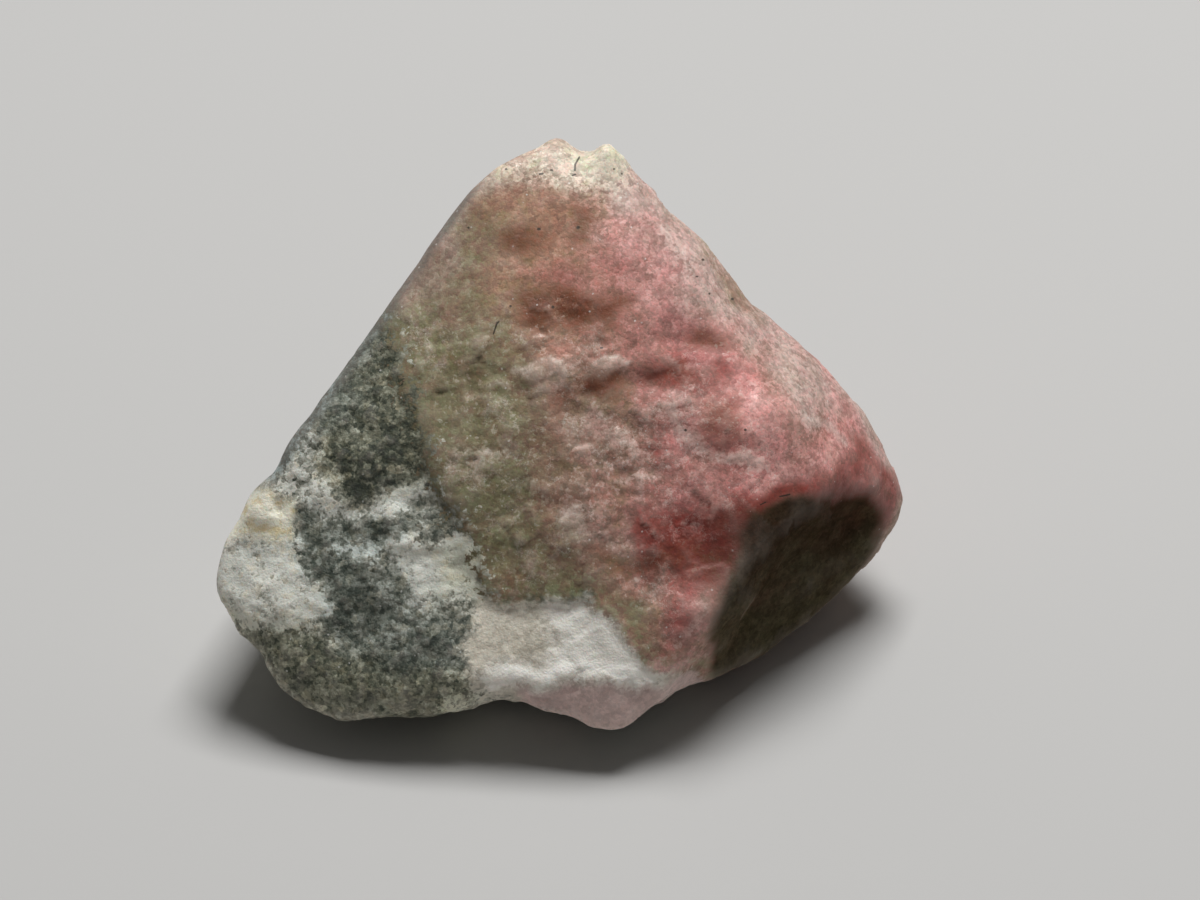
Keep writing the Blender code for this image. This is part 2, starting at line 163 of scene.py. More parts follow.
def applied(obj, kind, **settings):
    """The object's mesh with one modifier worked into it."""
    modifier = obj.modifiers.new(kind.lower(), kind)
    for name, value in settings.items():
        setattr(modifier, name, value)
    made = bpy.data.meshes.new_from_object(obj.evaluated_get(bpy.context.evaluated_depsgraph_get()))
    obj.modifiers.clear()
    old, obj.data = obj.data, made
    bpy.data.meshes.remove(old)
    return made


skin = solid.data.copy()
skin.name = "tugtupite skin"
skin.transform(Matrix.Scale(1000.0, 4))
stone = bpy.data.objects.new("tugtupite_specimen", skin)
bpy.context.scene.collection.objects.link(stone)
applied(stone, "REMESH", mode="VOXEL", voxel_size=SKIN_MESH, adaptivity=0.0)
skin = applied(stone, "SMOOTH", factor=0.5, iterations=SKIN_SMOOTHING)
print("skin:", len(skin.vertices), "points,", 2 * len(skin.polygons), "triangles")

# %% [markdown]
# ## Reading and moving the points of the skin
#
# Carving a mesh in code means three small steps that repeat: read all the points at once, work
# out how far each should rise or sink, and move it along its own normal. NumPy does the
# sums for all points together. Four kinds of unevenness come from `mathutils.noise`: smooth
# bumps, layered bumps that also hold smaller ones, rounded grains, and small tilted breaks.


# %% Helpers for carving
def read_points(mesh):
    """Every point of a mesh, one row each."""
    points = np.empty(len(mesh.vertices) * 3, np.float32)
    mesh.vertices.foreach_get("co", points)
    return points.reshape(-1, 3).astype(float)


def read_normals(mesh):
    """The way that the skin looks at every point."""
    normals = np.empty(len(mesh.vertices) * 3, np.float32)
    mesh.vertex_normals.foreach_get("vector", normals)
    return normals.reshape(-1, 3).astype(float)


def raise_skin(mesh, height):
    """Moves each point along its normal by its own height in mm; below zero sinks it."""
    points = read_points(mesh) + read_normals(mesh) * height[:, None]
    mesh.vertices.foreach_set("co", points.astype(np.float32).ravel())
    mesh.update()


print("middle of the skin, in mm:", read_points(skin).mean(axis=0).round(2))


# %% Helpers for unevenness
def ease(share):
    """0 below 0, 1 above 1, and a soft S between them."""
    share = np.clip(share, 0.0, 1.0)
    return share * share * (3.0 - 2.0 * share)


def bumps(places, size, shift=0.0):
    """Smooth bumps about this many mm across, from about -1 to 1."""
    return np.array([noise.noise(p) for p in (places / size + shift).tolist()]) * 1.6


def layered_bumps(places, size, layers, shift=0.0):
    """Bumps on bumps, each layer half the size of the last."""
    rows = (places / size + shift).tolist()
    return np.array([noise.fractal(p, 0.9, 2.0, layers) for p in rows])


def rounded_grains(places, size, shift=0.0):
    """1 at the top of each grain, falling to about 0 where it meets its neighbours."""
    rows = (places / size + shift).tolist()
    return np.clip(1.15 - np.array([noise.voronoi(p)[0][0] for p in rows]) * 1.5, 0.0, 1.0)


def tilted_breaks(places, size, shift=0.0):
    """Small flat breaks about this many mm across, each tilted its own way, from about -1 to 1."""
    rows = places / size + shift
    seeds = np.array([list(noise.voronoi(p)[1][0]) for p in rows.tolist()])
    tilts = np.sin(37.0 * seeds + 11.0 * seeds[:, [1, 2, 0]])  # looks random, and is the same each time
    return ((rows - seeds) * tilts).sum(axis=1)


print("four kinds of unevenness ready")


# %% Which way the skin looks
def measure_skin():
    """Where each point lies on the face's axes, and how squarely it looks along them."""
    place = on_face(read_points(skin))
    normals = read_normals(skin)
    facing = normals[:, 1] * OUT.y + normals[:, 2] * OUT.z
    return place, facing


place, facing = measure_skin()
front = ease((facing + 0.05) / 0.5)  # 1 on the face, 0 behind
print("share of the skin that looks forward:", round(float(front.mean()), 2))

# %% [markdown]
# ## Drawing on the face
#
# Most of what makes this stone this stone has a place: where the rose ends, where the rock
# begins, which flake has lifted. A place is drawn here as a closed outline or as a line of a few
# points, in millimetres on the face. Two helpers measure how far every point of the skin lies
# from such a drawing, and the others turn that into masks. Real boundaries between minerals are
# never straight, so the places are first pushed about by bumps of three sizes, and the drawings
# come out ragged.

# %% Helpers that measure from a drawing
RAGGED = [(2.6, 0.75), (0.9, 0.34), (0.32, 0.12)]  # size of the wander, how far it pushes


def ragged(places, share=1.0):
    """The places on the face, pushed about so that a drawn edge wanders."""
    moved = places[:, :2].copy()
    for size, push in RAGGED:
        moved[:, 0] += share * push * bumps(places, size, 3.1)
        moved[:, 1] += share * push * bumps(places, size, 17.7)
    return moved


def inside(places, outline):
    """How many mm each place lies inside a closed outline; below zero is outside."""
    x, y = places[:, 0], places[:, 1]
    nearest, within = np.full(len(x), 1e9), np.zeros(len(x), bool)
    for (ax, ay), (bx, by) in zip(outline, outline[1:] + outline[:1]):
        rx, ry = bx - ax, by - ay
        share = np.clip(((x - ax) * rx + (y - ay) * ry) / (rx * rx + ry * ry), 0.0, 1.0)
        nearest = np.minimum(nearest, np.hypot(x - ax - share * rx, y - ay - share * ry))
        if ay != by:
            within ^= ((ay > y) != (by > y)) & (x < ax + rx * (y - ay) / ry)
    return np.where(within, nearest, -nearest)


def beside(places, line):
    """How far each place is from a line, below zero on its right, and how far it is along it."""
    x, y = places[:, 0], places[:, 1]
    lengths = [math.dist(a, b) for a, b in zip(line, line[1:])]
    away, side, along, done = np.full(len(x), 1e9), np.ones(len(x)), np.zeros(len(x)), 0.0
    for ((ax, ay), (bx, by)), length in zip(zip(line, line[1:]), lengths):
        rx, ry = bx - ax, by - ay
        share = np.clip(((x - ax) * rx + (y - ay) * ry) / length**2, 0.0, 1.0)
        gx, gy = x - ax - share * rx, y - ay - share * ry
        gap = np.hypot(gx, gy)
        closer = gap < away
        away = np.where(closer, gap, away)
        side = np.where(closer, np.where(rx * gy - ry * gx < 0, -1.0, 1.0), side)
        along = np.where(closer, (done + share * length) / sum(lengths), along)
        done += length
    return side * away, along


drawn = ragged(place)
print("edges wander by up to", round(float(np.hypot(*(drawn - place[:, :2]).T).max()), 2), "mm")


# %% Helpers that turn a drawing into a mask
def patch(places, outline, soft):
    """1 well inside an outline and 0 well outside it, with an edge this many mm wide."""
    return ease(0.5 + inside(places, outline) / soft)


def together(masks):
    """Several masks as one: wherever any of them is strong."""
    rest = np.ones(len(place))
    for mask in masks:
        rest *= 1.0 - np.clip(mask, 0.0, 1.0)
    return 1.0 - rest


def zone(places, outlines):
    """One mask from several (strength, edge width in mm, outline)."""
    return together([strength * patch(places, outline, soft) for strength, soft, outline in outlines])


def fade_ends(along, share):
    """1 along a line, falling to 0 over this share of it at either end."""
    return ease(along / share) * ease((1.0 - along) / share)


def stroke(places, line, width):
    """1 on a line, and 0 at this many mm from it and at its ends."""
    side, along = beside(places, line)
    return fade_ends(along, 0.15) * ease(1.0 - np.abs(side) / width)


def spot(places, across, up, radius):
    """1 at one point of the face, and 0 at this many mm from it."""
    return ease(1.0 - np.hypot(places[:, 0] - across, places[:, 1] - up) / radius)


print("a spot 6 mm wide covers", round(float((spot(place, 0.0, 0.0, 3.0) > 0).mean()), 3), "of the skin")

# %% [markdown]
# ## Where the rock begins
#
# The tugtupite and the grey rock meet along a crooked line that starts high on the left edge,
# comes down the face, turns right above the white vein and runs out at the foot of the lobe. One
# line is drawn once, and both the relief and the colour are measured from it: on its right,
# walking down, lies the rock.

# %% The boundary line
BOUNDARY = [
    (-7.6, 4.6), (-7.0, 4.1), (-6.4, 3.3), (-6.3, 1.7), (-5.7, 0.4), (-5.35, -0.6), (-4.9, -1.5),
    (-4.45, -2.2), (-4.1, -3.1), (-3.85, -4.1), (-3.4, -4.7), (-1.75, -4.8), (-0.7, -4.75),
    (-0.3, -5.4), (0.5, -6.1), (1.4, -6.8), (2.9, -7.15), (3.6, -7.7), (4.4, -8.6), (5.0, -10.0),
]
LINE_WANDER = 0.40  # drawn lines wander less than the edges of the zones
wandering = ragged(place, LINE_WANDER)
beyond, down_the_line = beside(wandering, BOUNDARY)
in_rock = ease(0.5 - beyond / 0.3)
print("share of the skin that is rock or vein:", round(float(in_rock.mean()), 2))

# %% [markdown]
# ## The skin of the tugtupite
#
# Massive tugtupite breaks like lump sugar: soft lumps, and over them small flat breaks a
# millimetre across, each tilted its own way. The upper face is smoother, and everything
# below the middle is hackly. A displacement texture could do it, but then the breaks would be
# the same all over; added here point by point, each effect can follow its own zone.

# %% Lumps and flat breaks on the tugtupite
HACKLY = [
    (-5.8, 4.8), (-3.6, 4.4), (-1.6, 4.2), (0.2, 3.5), (1.4, 3.0), (2.6, 4.0), (3.8, 3.8),
    (4.6, 2.4), (6.0, 1.2), (6.8, -0.4), (4.8, -1.6), (3.8, -3.2), (3.4, -5.4), (1.6, -6.6),
    (-0.6, -4.7), (-3.8, -4.7), (-4.8, -1.6), (-5.7, 0.6), (-6.5, 2.6),
]
hackly = patch(drawn, HACKLY, 1.6) * front + 0.7 * (1.0 - front)
hackly *= 1.0 - 0.45 * ease((place[:, 0] - 1.5) / 3.0)  # calmer to the right
strayed = place.copy()
for axis in range(3):
    coarse, small = bumps(place, 0.8, 6.0 + 5.0 * axis), bumps(place, 0.3, 2.0 + 3.0 * axis)
    strayed[:, axis] += 0.22 * coarse + 0.08 * small
breaks, small_breaks = tilted_breaks(strayed, 1.5, 3.0), tilted_breaks(strayed, 0.62, 8.0)
UNEVENNESS = [  # (pattern, height everywhere, how much more where it is hackly), in mm
    (layered_bumps(place, 1.25, 3, 40.0), 0.022, 0.050),
    (layered_bumps(place, 0.50, 3, 5.0), 0.0, 0.020),
    (breaks, 0.014, 0.045),
    (small_breaks, 0.0, 0.020),
]
tugtupite_relief = sum((low + more * hackly) * pattern for pattern, low, more in UNEVENNESS)
print("tugtupite relief in mm:", tugtupite_relief.min().round(3), "to", tugtupite_relief.max().round(3))

# %% [markdown]
# ## The skin of the rock
#
# The rock is a mass of small grains of different hardness, so it feels like coarse sandpaper.
# Rounded Voronoi cells of two sizes give the grains and the clots of grains, and they fade
# out on the white vein, which is nearly as smooth as the tugtupite.

# %% Grains of the rock
WHITE_VEIN = [
    (-3.9, -4.2), (-2.4, -4.0), (-0.3, -4.0), (0.6, -4.8), (1.4, -5.6), (2.2, -6.2), (3.6, -6.6),
    (5.4, -8.0), (5.0, -9.6), (1.6, -10.0), (0.6, -9.9), (-0.8, -9.4), (-2.2, -8.8), (-3.4, -8.4),
    (-4.4, -8.0), (-4.0, -7.0), (-4.4, -6.0), (-3.8, -5.2),
]
in_vein = patch(ragged(place, 0.6), WHITE_VEIN, 0.5) * front
grains, clots = rounded_grains(place, 0.34) - 0.5, rounded_grains(place, 0.85, 4.0) - 0.5
grain_relief = 0.045 * grains + 0.055 * clots + 0.034 * layered_bumps(place, 0.5, 4, 8.0)
vein_relief = 0.030 * layered_bumps(place, 0.9, 3, 12.0) + 0.05 * tilted_breaks(strayed, 1.3, 21.0)
rock_relief = grain_relief + in_vein * (vein_relief - grain_relief)
height = tugtupite_relief + in_rock * (rock_relief - tugtupite_relief)
print("grains stand up to", grain_relief.max().round(3), "mm proud")

# %% [markdown]
# ## Ledges, rims and pits with a place of their own
#
# The eye reads a handful of marks first: the ledge where the rock stops, the lifted flakes in the
# middle, the notch in the rose, the bright crest above the lip. A flake is a closed outline that
# stands up by a hair. A rim is one line: the ground falls on the line's right by the given drop
# and climbs back over the reach. A crest is a line too, and pits are listed one by one.

# %% Drawn flakes, rims and the ledge
FLAKES = [
    [(-2.50, 2.40), (-2.10, 2.86), (-1.59, 3.02), (-1.18, 2.80), (-1.02, 2.44), (-1.10, 1.95),
     (-1.5, 1.7), (-2.1, 1.9)],
    [(-0.38, 2.25), (-0.24, 2.65), (0.12, 2.92), (0.55, 2.98), (0.95, 2.85), (0.75, 2.55),
     (0.4, 2.5), (0.1, 2.2)],
    [(-1.25, -2.2), (-0.85, -2.0), (-0.45, -2.2), (-0.45, -2.8), (-0.8, -3.05), (-1.2, -2.8)],
]
RIMS = [  # (line, drop in mm on its right, reach in mm)
    ([(-0.9, 1.75), (0.0, 2.05), (0.8, 2.05)], 0.06, 0.8),
    ([(1.0, 2.4), (1.7, 2.6), (2.4, 2.7), (3.0, 3.0)], 0.05, 1.2),
    ([(2.5, 3.4), (3.1, 3.75), (3.8, 3.5)], 0.04, 0.9),
    ([(-2.8, 2.0), (-3.5, 2.3), (-4.2, 2.0)], 0.06, 0.8),
    ([(-3.9, 3.3), (-4.7, 3.5), (-5.4, 3.2)], 0.05, 0.7),
    ([(-0.4, -1.9), (-0.9, -2.0), (-1.3, -2.5)], 0.06, 0.9),
    ([(3.4, 1.3), (2.6, 1.5), (1.6, 1.7)], 0.05, 0.8),
    ([(5.4, -0.3), (4.4, 0.0), (3.4, 0.1)], 0.06, 0.9),
    ([(1.2, -0.3), (0.6, 0.6), (-0.3, 1.1)], 0.05, 0.9),
    ([(2.4, -1.0), (1.4, -0.9), (0.4, -1.3)], 0.05, 0.8),
    ([(1.6, -3.7), (2.6, -4.1), (3.6, -4.0)], 0.04, 1.0),
]
FLAKE_WANDER, FLAKE_RISE = 0.14, 0.022
LEDGE = (  # share of the way down the boundary, drop in mm
    [0.0, 0.25, 0.4, 0.55, 0.7, 0.85, 1.0],
    [0.0, 0.02, 0.10, 0.07, 0.07, 0.03, 0.0],
)

steady = ragged(place, FLAKE_WANDER)
for outline in FLAKES:
    height += FLAKE_RISE * front * patch(steady, outline, 0.22)
for line, drop, reach in RIMS:
    side, along = beside(wandering, line)
    fall = ease(-side / 0.22) * (1.0 - ease(-side / reach))
    lift = ease(0.5 + side / 0.22) * (1.0 - ease(side / reach))
    height += front * fade_ends(along, 0.3) * drop * (0.25 * lift - 0.75 * fall)
ledge_drop = np.interp(down_the_line, *LEDGE)
height -= front * ledge_drop * ease(-beyond / 0.15) * (1.0 - ease(-beyond / 1.4))
print(len(FLAKES), "flakes,", len(RIMS), "rims and one long ledge")

# %% Drawn crests and pits
CRESTS = [  # (line, rise in mm, half width in mm)
    ([(-3.9, -7.55), (-2.5, -7.45), (0.0, -7.35), (1.6, -7.2)], 0.13, 0.60),
    ([(-0.9, -5.0), (-0.3, -5.9), (0.4, -6.6), (1.4, -7.0)], 0.06, 0.60),
    ([(-6.9, -3.5), (-5.6, -3.2), (-4.4, -3.3), (-4.1, -4.1)], 0.05, 0.30),
    ([(-0.2, -4.85), (0.2, -5.6), (1.0, -6.4)], 0.04, 0.22),
]
PITS = [  # (across, up, radius, depth)
    (-0.5, 4.6, 0.2, 0.04),
    (0.05, 3.3, 0.22, 0.07), (0.9, 4.7, 0.18, 0.04), (3.3, 3.55, 0.5, 0.04),
    (-3.9, -4.1, 0.22, 0.10), (-5.5, -0.9, 0.30, 0.07), (-4.9, -1.4, 0.2, 0.07), (4.7, 0.6, 0.12, 0.05),
    (2.7, 0.6, 0.12, 0.05), (-10.2, -2.0, 0.35, 0.08), (-10.8, -2.1, 0.2, 0.05), (-8.8, -4.1, 0.4, 0.06),
    (-5.3, -6.4, 0.4, 0.06), (-7.2, -6.9, 0.35, 0.06), (-0.8, 9.2, 0.2, 0.08), (1.3, -3.7, 0.3, 0.03),
]
for line, rise, width in CRESTS:
    height += front * rise * stroke(wandering, line, width)
for across, up, radius, depth in PITS:
    height -= front * depth * spot(wandering, across, up, radius)
print(len(CRESTS), "crests,", len(PITS), "pits")

# %% [markdown]
# ## The rougher back, and the flat foot
#
# The back and sides are fresh breaks that nobody has handled, so they are rougher than
# the face. One long side at the upper left is different: a single straight parting, nearly
# smooth. The flat that the stone rests on stays flat: the relief fades out close to it,
# and no point is left below it.

# %% Finish the relief
PARTING_ACROSS, PARTING_UP = -0.82, 0.57  # the way that the straight parting looks
KNOBS = [  # (across, up, radius, rise)
    (-1.45, 9.9, 0.8, 0.12), (-0.55, 9.95, 0.85, -0.22), (0.25, 9.75, 0.6, 0.10),  # the crown and its dip
    (-11.0, -1.4, 1.1, 0.14),  # the left edge
    (1.70, 1.75, 1.3, 0.13), (0.35, 1.60, 0.9, 0.08),  # below the notch
]
FOOT_CLEAR, FOOT_FADE = 0.03, 0.35  # mm above the floor

points, normals = read_points(skin), read_normals(skin)
looks_up = normals[:, 1] * UP.y + normals[:, 2] * UP.z
straight = ease((PARTING_UP * looks_up + PARTING_ACROSS * normals[:, 0] - 0.3) / 0.4)
behind = ease((0.10 - facing) / 0.5)
height += behind * (0.06 * layered_bumps(place, 1.3, 5, 30.0) + 0.09 * breaks + 0.05 * small_breaks)
height *= 1.0 - 0.8 * straight
for across, up, radius, rise in KNOBS:
    height += rise * spot(place, across, up, radius)
height *= ease((points[:, 2] - FOOT_CLEAR) / FOOT_FADE)
raise_skin(skin, height)
points = read_points(skin)
points[:, 2] = np.maximum(points[:, 2], 0.0)
skin.vertices.foreach_set("co", points.astype(np.float32).ravel())
skin.update()
print("the skin moved by up to", round(float(np.abs(height).max()), 3), "mm")

# %% [markdown]
# ## Colour zones
#
# The rose isn't evenly pink: it is deepest in the hollow under the shoulder and in the notch, where the
# deeper colour is partly painted shade, and it turns brown on the upper face, olive towards the rock, and
# almost white along the right edge. Three patches are brightened as painted light, and the facet under the
# tip is darkened, partly as a duller olive-brown and mostly as painted shade.
# Each of these is stored on the mesh as a mask, a number from 0 to 1 at every point, and
# the material mixes its colours by them. Painting finished colours onto the points would be
# quicker, but masks let the shader break every edge up into grains much finer than the mesh.


# %% Helper that stores a mask on the skin
stored = []


def store(name, values):
    """Writes one number per point, which an Attribute node can read by this name."""
    attribute = skin.attributes.new(name, "FLOAT", "POINT")
    attribute.data.foreach_set("value", np.asarray(values, np.float32))
    stored.append(name)
    print(f"{name}: mean {float(np.mean(values)):.2f}")


print("masks can be stored")

# %% Masks that follow the relief and the boundary
SEAM = (  # share of the way down the boundary, strength of the dark seam
    [0.0, 0.22, 0.30, 0.42, 0.58, 0.68, 0.78, 1.0],
    [0.2, 0.3, 0.9, 0.7, 1.0, 0.6, 0.2, 0.0],
)
PARTING_LOW, PARTING_HIGH = -1.8, 9.0  # mm up the face; the straight parting is grey only between them

place, facing = measure_skin()
drawn, wandering, steady = ragged(place), ragged(place, LINE_WANDER), ragged(place, FLAKE_WANDER)
front = ease((facing + 0.15) / 0.4)
store("front", front)
store("straight", straight * ease(place[:, 1] - PARTING_LOW) * ease(PARTING_HIGH - place[:, 1]))
beyond, down_the_line = beside(wandering, BOUNDARY)
store("rock", -beyond.clip(-3.0, 3.0))
store("seam", front * np.interp(down_the_line, *SEAM))
store("hackly", patch(drawn, HACKLY, 2.0) * front)

# %% Rose, brown, olive and pale zones of the tugtupite
ZONES = {  # name: [(strength, edge width in mm, outline)]
    "rose": [
        (0.70, 2.6, [(0.9, 8.3), (1.8, 6.9), (3.2, 5.2), (4.4, 3.9), (6.0, 2.6), (7.6, 1.0), (9.2, -0.4),
            (9.6, -1.8), (6.6, -1.5), (4.8, -1.8), (4.4, -3.2), (4.1, -4.4), (4.0, -5.6), (3.3, -6.4),
            (2.6, -5.4), (2.2, -4.2), (2.2, -2.8), (2.6, -1.4), (2.3, 0.2), (2.6, 1.6), (1.4, 2.9),
            (1.2, 4.4), (0.6, 6.2)]),
        (0.55, 3.2, [(-0.4, 8.0), (2.0, 6.9), (4.0, 4.2), (9.0, -0.6), (6.0, -1.6), (4.0, -4.0),
            (3.8, -6.2), (1.6, -5.6), (0.6, -4.2), (1.0, -2.0), (0.8, 0.8), (0.2, 2.9), (-1.2, 4.4),
            (-1.0, 6.2)]),
        (0.30, 1.4, [(-2.8, 5.8), (-1.0, 6.3), (0.6, 6.6), (0.6, 4.8), (-0.6, 4.8), (-2.4, 4.9)]),
        (0.30, 1.2, [(-2.2, 1.6), (-1.0, 1.9), (-0.8, 1.2), (-2.0, 0.9)]),
    ],
    # deep rose: partly the mineral's deeper colour, partly painted shade in the hollow beside the facet and
    # in the notch
    "deep_rose_and_shade": [
        (1.0, 1.3, [(1.7, -2.2), (3.0, -1.8), (4.2, -1.5), (5.1, -1.9), (4.7, -2.6), (4.3, -3.3),
            (3.6, -4.1), (2.2, -4.3), (1.3, -3.8), (1.2, -2.8)]),
        (0.95, 1.0, [(3.8, -1.2), (4.8, -0.9), (6.2, -0.8), (8.2, -0.8), (9.2, -1.0), (9.2, -1.7),
            (6.6, -1.8), (4.6, -2.2)]),
        (0.85, 1.4, [(1.2, 3.1), (2.9, 3.2), (3.4, 2.2), (2.4, 1.6), (1.3, 2.0)]),
        (0.25, 1.2, [(3.0, 1.7), (4.2, 1.6), (4.4, 0.7), (3.2, 0.6)]),
        (0.45, 0.8, [(1.5, 0.9), (2.4, 0.6), (2.5, -0.6), (1.7, -0.4)]),
        (0.50, 0.9, [(2.0, -4.3), (3.2, -4.4), (3.5, -5.4), (2.6, -5.8), (1.9, -5.0)]),
    ],
    "upper_brown": [
        (0.9, 3.0, [(-3.2, 8.6), (-0.8, 8.8), (1.2, 7.6), (1.0, 5.2), (0.6, 3.6), (-1.6, 3.0), (-3.0, 3.8),
            (-3.6, 5.6), (-3.4, 7.2)]),
    ],
    "olive": [
        (0.9, 2.4, [(-8.6, 4.0), (-5.4, 4.9), (-3.4, 4.4), (-2.5, 3.2), (-2.6, 1.2), (-2.2, -0.8),
            (-1.8, -2.8), (-0.8, -4.6), (-0.8, -6.4), (-4.6, -6.4), (-6.0, -3.4), (-7.0, -0.6),
            (-8.0, 2.2)]),
        (0.40, 2.0, [(-6.8, 5.0), (-4.2, 8.4), (-3.0, 8.2), (-3.0, 5.4), (-4.0, 4.4)]),
        (0.55, 0.9, [(-0.7, -4.5), (0.3, -4.8), (1.0, -5.8), (1.9, -6.6), (1.0, -6.8), (0.0, -5.7)]),
    ],
    "pale": [
        (0.80, 1.5, [(0.2, 9.6), (1.6, 9.3), (3.4, 7.0), (4.8, 5.2), (7.0, 3.3), (8.8, 1.4), (9.8, -0.6),
            (8.8, -0.9), (8.1, 0.4), (7.0, 1.6), (5.9, 2.8), (4.3, 4.1), (3.0, 5.4), (2.1, 6.7),
            (1.0, 8.0)]),
        (0.35, 1.0, [(-4.8, 8.4), (-3.2, 9.2), (-3.0, 8.2), (-4.9, 6.0), (-6.3, 3.9), (-7.6, 3.0)]),
        (0.40, 0.7, [(-0.7, 1.2), (0.2, 0.9), (0.3, 0.3), (-0.5, 0.5)]),
        (0.30, 0.7, [(0.2, -0.1), (0.9, -0.2), (0.9, -0.8), (0.3, -0.7)]),
        (0.40, 2.4, [(0.8, 8.2), (2.2, 7.0), (3.4, 5.2), (2.6, 4.2), (1.2, 5.6)]),
        # this pale patch on the rounded shoulder is painted light
        (0.55, 1.6, [(3.8, 1.8), (5.2, 2.0), (6.6, 1.0), (7.0, 0.0), (6.4, -0.6), (4.6, -0.3)]),
        (0.40, 0.8, [(-1.2, -2.1), (-0.5, -2.0), (0.6, -2.5), (1.6, -1.9), (1.5, -2.9), (0.2, -3.1),
            (-0.8, -3.5)]),
        (0.40, 0.8, [(1.4, 1.7), (2.5, 1.4), (3.0, 0.6), (2.0, 0.9)]),
        (0.35, 0.7, [(-5.0, 0.4), (-4.0, 0.3), (-3.4, -0.1), (-4.6, -0.2)]),
        (0.85, 0.8, [(1.2, -6.0), (2.4, -6.0), (3.2, -6.6), (2.4, -7.1), (1.4, -6.8)]),
    ],
    "white": [
        (0.55, 1.7, [(-3.8, 8.6), (-2.9, 9.3), (-1.9, 9.6), (-0.8, 9.6), (-0.8, 8.6), (-2.2, 8.6)]),
        (1.0, 1.5, [(-2.0, 9.0), (-1.8, 9.5), (-1.0, 9.4), (-0.4, 10.4), (0.8, 10.4), (1.4, 9.3),
            (0.7, 8.6), (-0.2, 8.4), (-1.2, 8.5)]),
    ],
    "stain": [
        (0.45, 0.7, [(-3.2, 6.9), (-2.4, 7.2), (-1.6, 7.0), (-2.0, 6.6), (-2.9, 6.4)]),
        (0.6, 0.6, [(-1.0, 7.7), (-0.2, 7.5), (-0.3, 7.0), (-1.0, 7.0)]),
        (1.0, 0.9, [(-2.5, 4.7), (-1.3, 5.0), (-0.2, 4.9), (0.6, 4.7), (0.3, 4.1), (-0.8, 3.9),
            (-2.1, 3.8)]),
        (0.6, 0.6, [(2.6, 3.9), (3.5, 3.9), (3.8, 3.5), (3.2, 3.3), (2.6, 3.5)]),
        (0.85, 0.6, [(-0.7, 2.2), (0.5, 2.4), (0.8, 2.0), (0.3, 1.6), (-0.6, 1.7)]),
        (0.25, 0.6, [(1.1, 2.8), (2.2, 2.8), (2.8, 2.2), (2.2, 1.9), (1.3, 2.3)]),
        (0.5, 0.8, [(3.1, 1.5), (4.3, 1.4), (4.1, 0.7), (3.2, 0.7)]),
        (0.5, 0.8, [(-0.4, -3.2), (1.0, -3.4), (2.2, -3.2), (3.8, -3.4), (3.4, -4.0), (1.6, -3.9),
            (0.2, -3.8)]),
        (0.4, 0.7, [(-1.6, 1.9), (-0.9, 1.8), (-1.2, 1.2), (-1.7, 1.3)]),
        (0.4, 0.6, [(-4.9, 2.9), (-4.2, 2.8), (-3.8, 2.1), (-4.4, 2.3)]),
    ],
    "green": [
        (0.7, 0.9, [(-3.4, 4.3), (-2.8, 4.1), (-2.7, 2.3), (-3.3, 2.1)]),
        (0.7, 0.8, [(-6.1, 1.9), (-5.2, 2.0), (-5.1, 1.3), (-6.0, 1.2)]),
        (0.6, 0.7, [(-4.9, 0.9), (-4.2, 0.8), (-4.3, 0.2), (-4.9, 0.3)]),
        (0.8, 0.9, [(-4.2, -2.3), (-3.2, -2.4), (-3.0, -3.2), (-4.0, -3.4)]),
        (1.0, 0.5, [(-4.1, -3.9), (-3.4, -4.0), (-3.0, -4.4), (-0.9, -4.5), (-0.9, -4.9), (-3.9, -4.9)]),
        (0.5, 0.9, [(-4.6, -1.4), (-3.8, -1.5), (-3.6, -0.2), (-4.8, 0.0)]),
        (0.25, 0.7, [(0.4, -5.3), (1.1, -5.5), (1.7, -6.5), (1.0, -6.4)]),
    ],
    # the facet under the tip: a duller olive-brown surface, darkened much further as painted shade
    "facet_brown_and_shade": [
        (1.0, 0.6, [(4.6, -1.95), (6.6, -1.55), (8.7, -1.35), (9.2, -1.9), (8.9, -3.6), (7.4, -6.2),
            (5.4, -7.6), (3.5, -8.4), (3.6, -6.6), (4.0, -4.8), (4.4, -3.2)]),
        (0.65, 2.4, [(4.0, -2.2), (5.0, -2.2), (5.4, -4.2), (4.6, -5.6), (3.8, -4.2)]),
    ],
    # painted light: the shoulder, the low end of the lobe and an olive patch above the vein are brightened
    "painted_light": [
        (1.0, 2.2, [(3.6, 1.6), (5.2, 2.0), (6.8, 1.2), (7.4, 0.2), (6.6, -0.6), (4.6, -0.6)]),
        (1.0, 1.0, [(1.2, -5.8), (2.4, -5.8), (3.0, -6.6), (2.2, -7.2), (1.2, -6.9)]),
        (0.8, 1.0, [(-4.0, -3.4), (-2.4, -3.6), (-2.0, -4.6), (-3.8, -4.6)]),
    ],
    # painted shadow across the top of the facet, under the overhanging ridge
    "ridge_shadow": [
        (1.0, 1.8, [(4.2, -1.9), (6.6, -1.5), (8.4, -1.3), (8.6, -2.6), (7.2, -3.8), (4.6, -4.2)]),
    ],
}
print(sum(len(outlines) for outlines in ZONES.values()), "outlines in", len(ZONES), "zones")

# %% Store the zones of the tugtupite
ZONE_WANDER = {"facet_brown_and_shade": 0.4, "stain": 0.5, "white": 0.5, "green": 0.5, "rose": 1.5, "upper_brown": 1.5}
FRONT_ONLY = ("stain", "facet_brown_and_shade", "ridge_shadow", "deep_rose_and_shade")
for name, outlines in ZONES.items():
    mask = zone(ragged(place, ZONE_WANDER.get(name, 1.0)), outlines)
    if name == "green":  # a green fringe follows the boundary too
        mask = together([mask, 0.75 * front * ease((1.5 - np.abs(beyond)) / 1.3)])
    store(name, mask * front if name in FRONT_ONLY else mask)

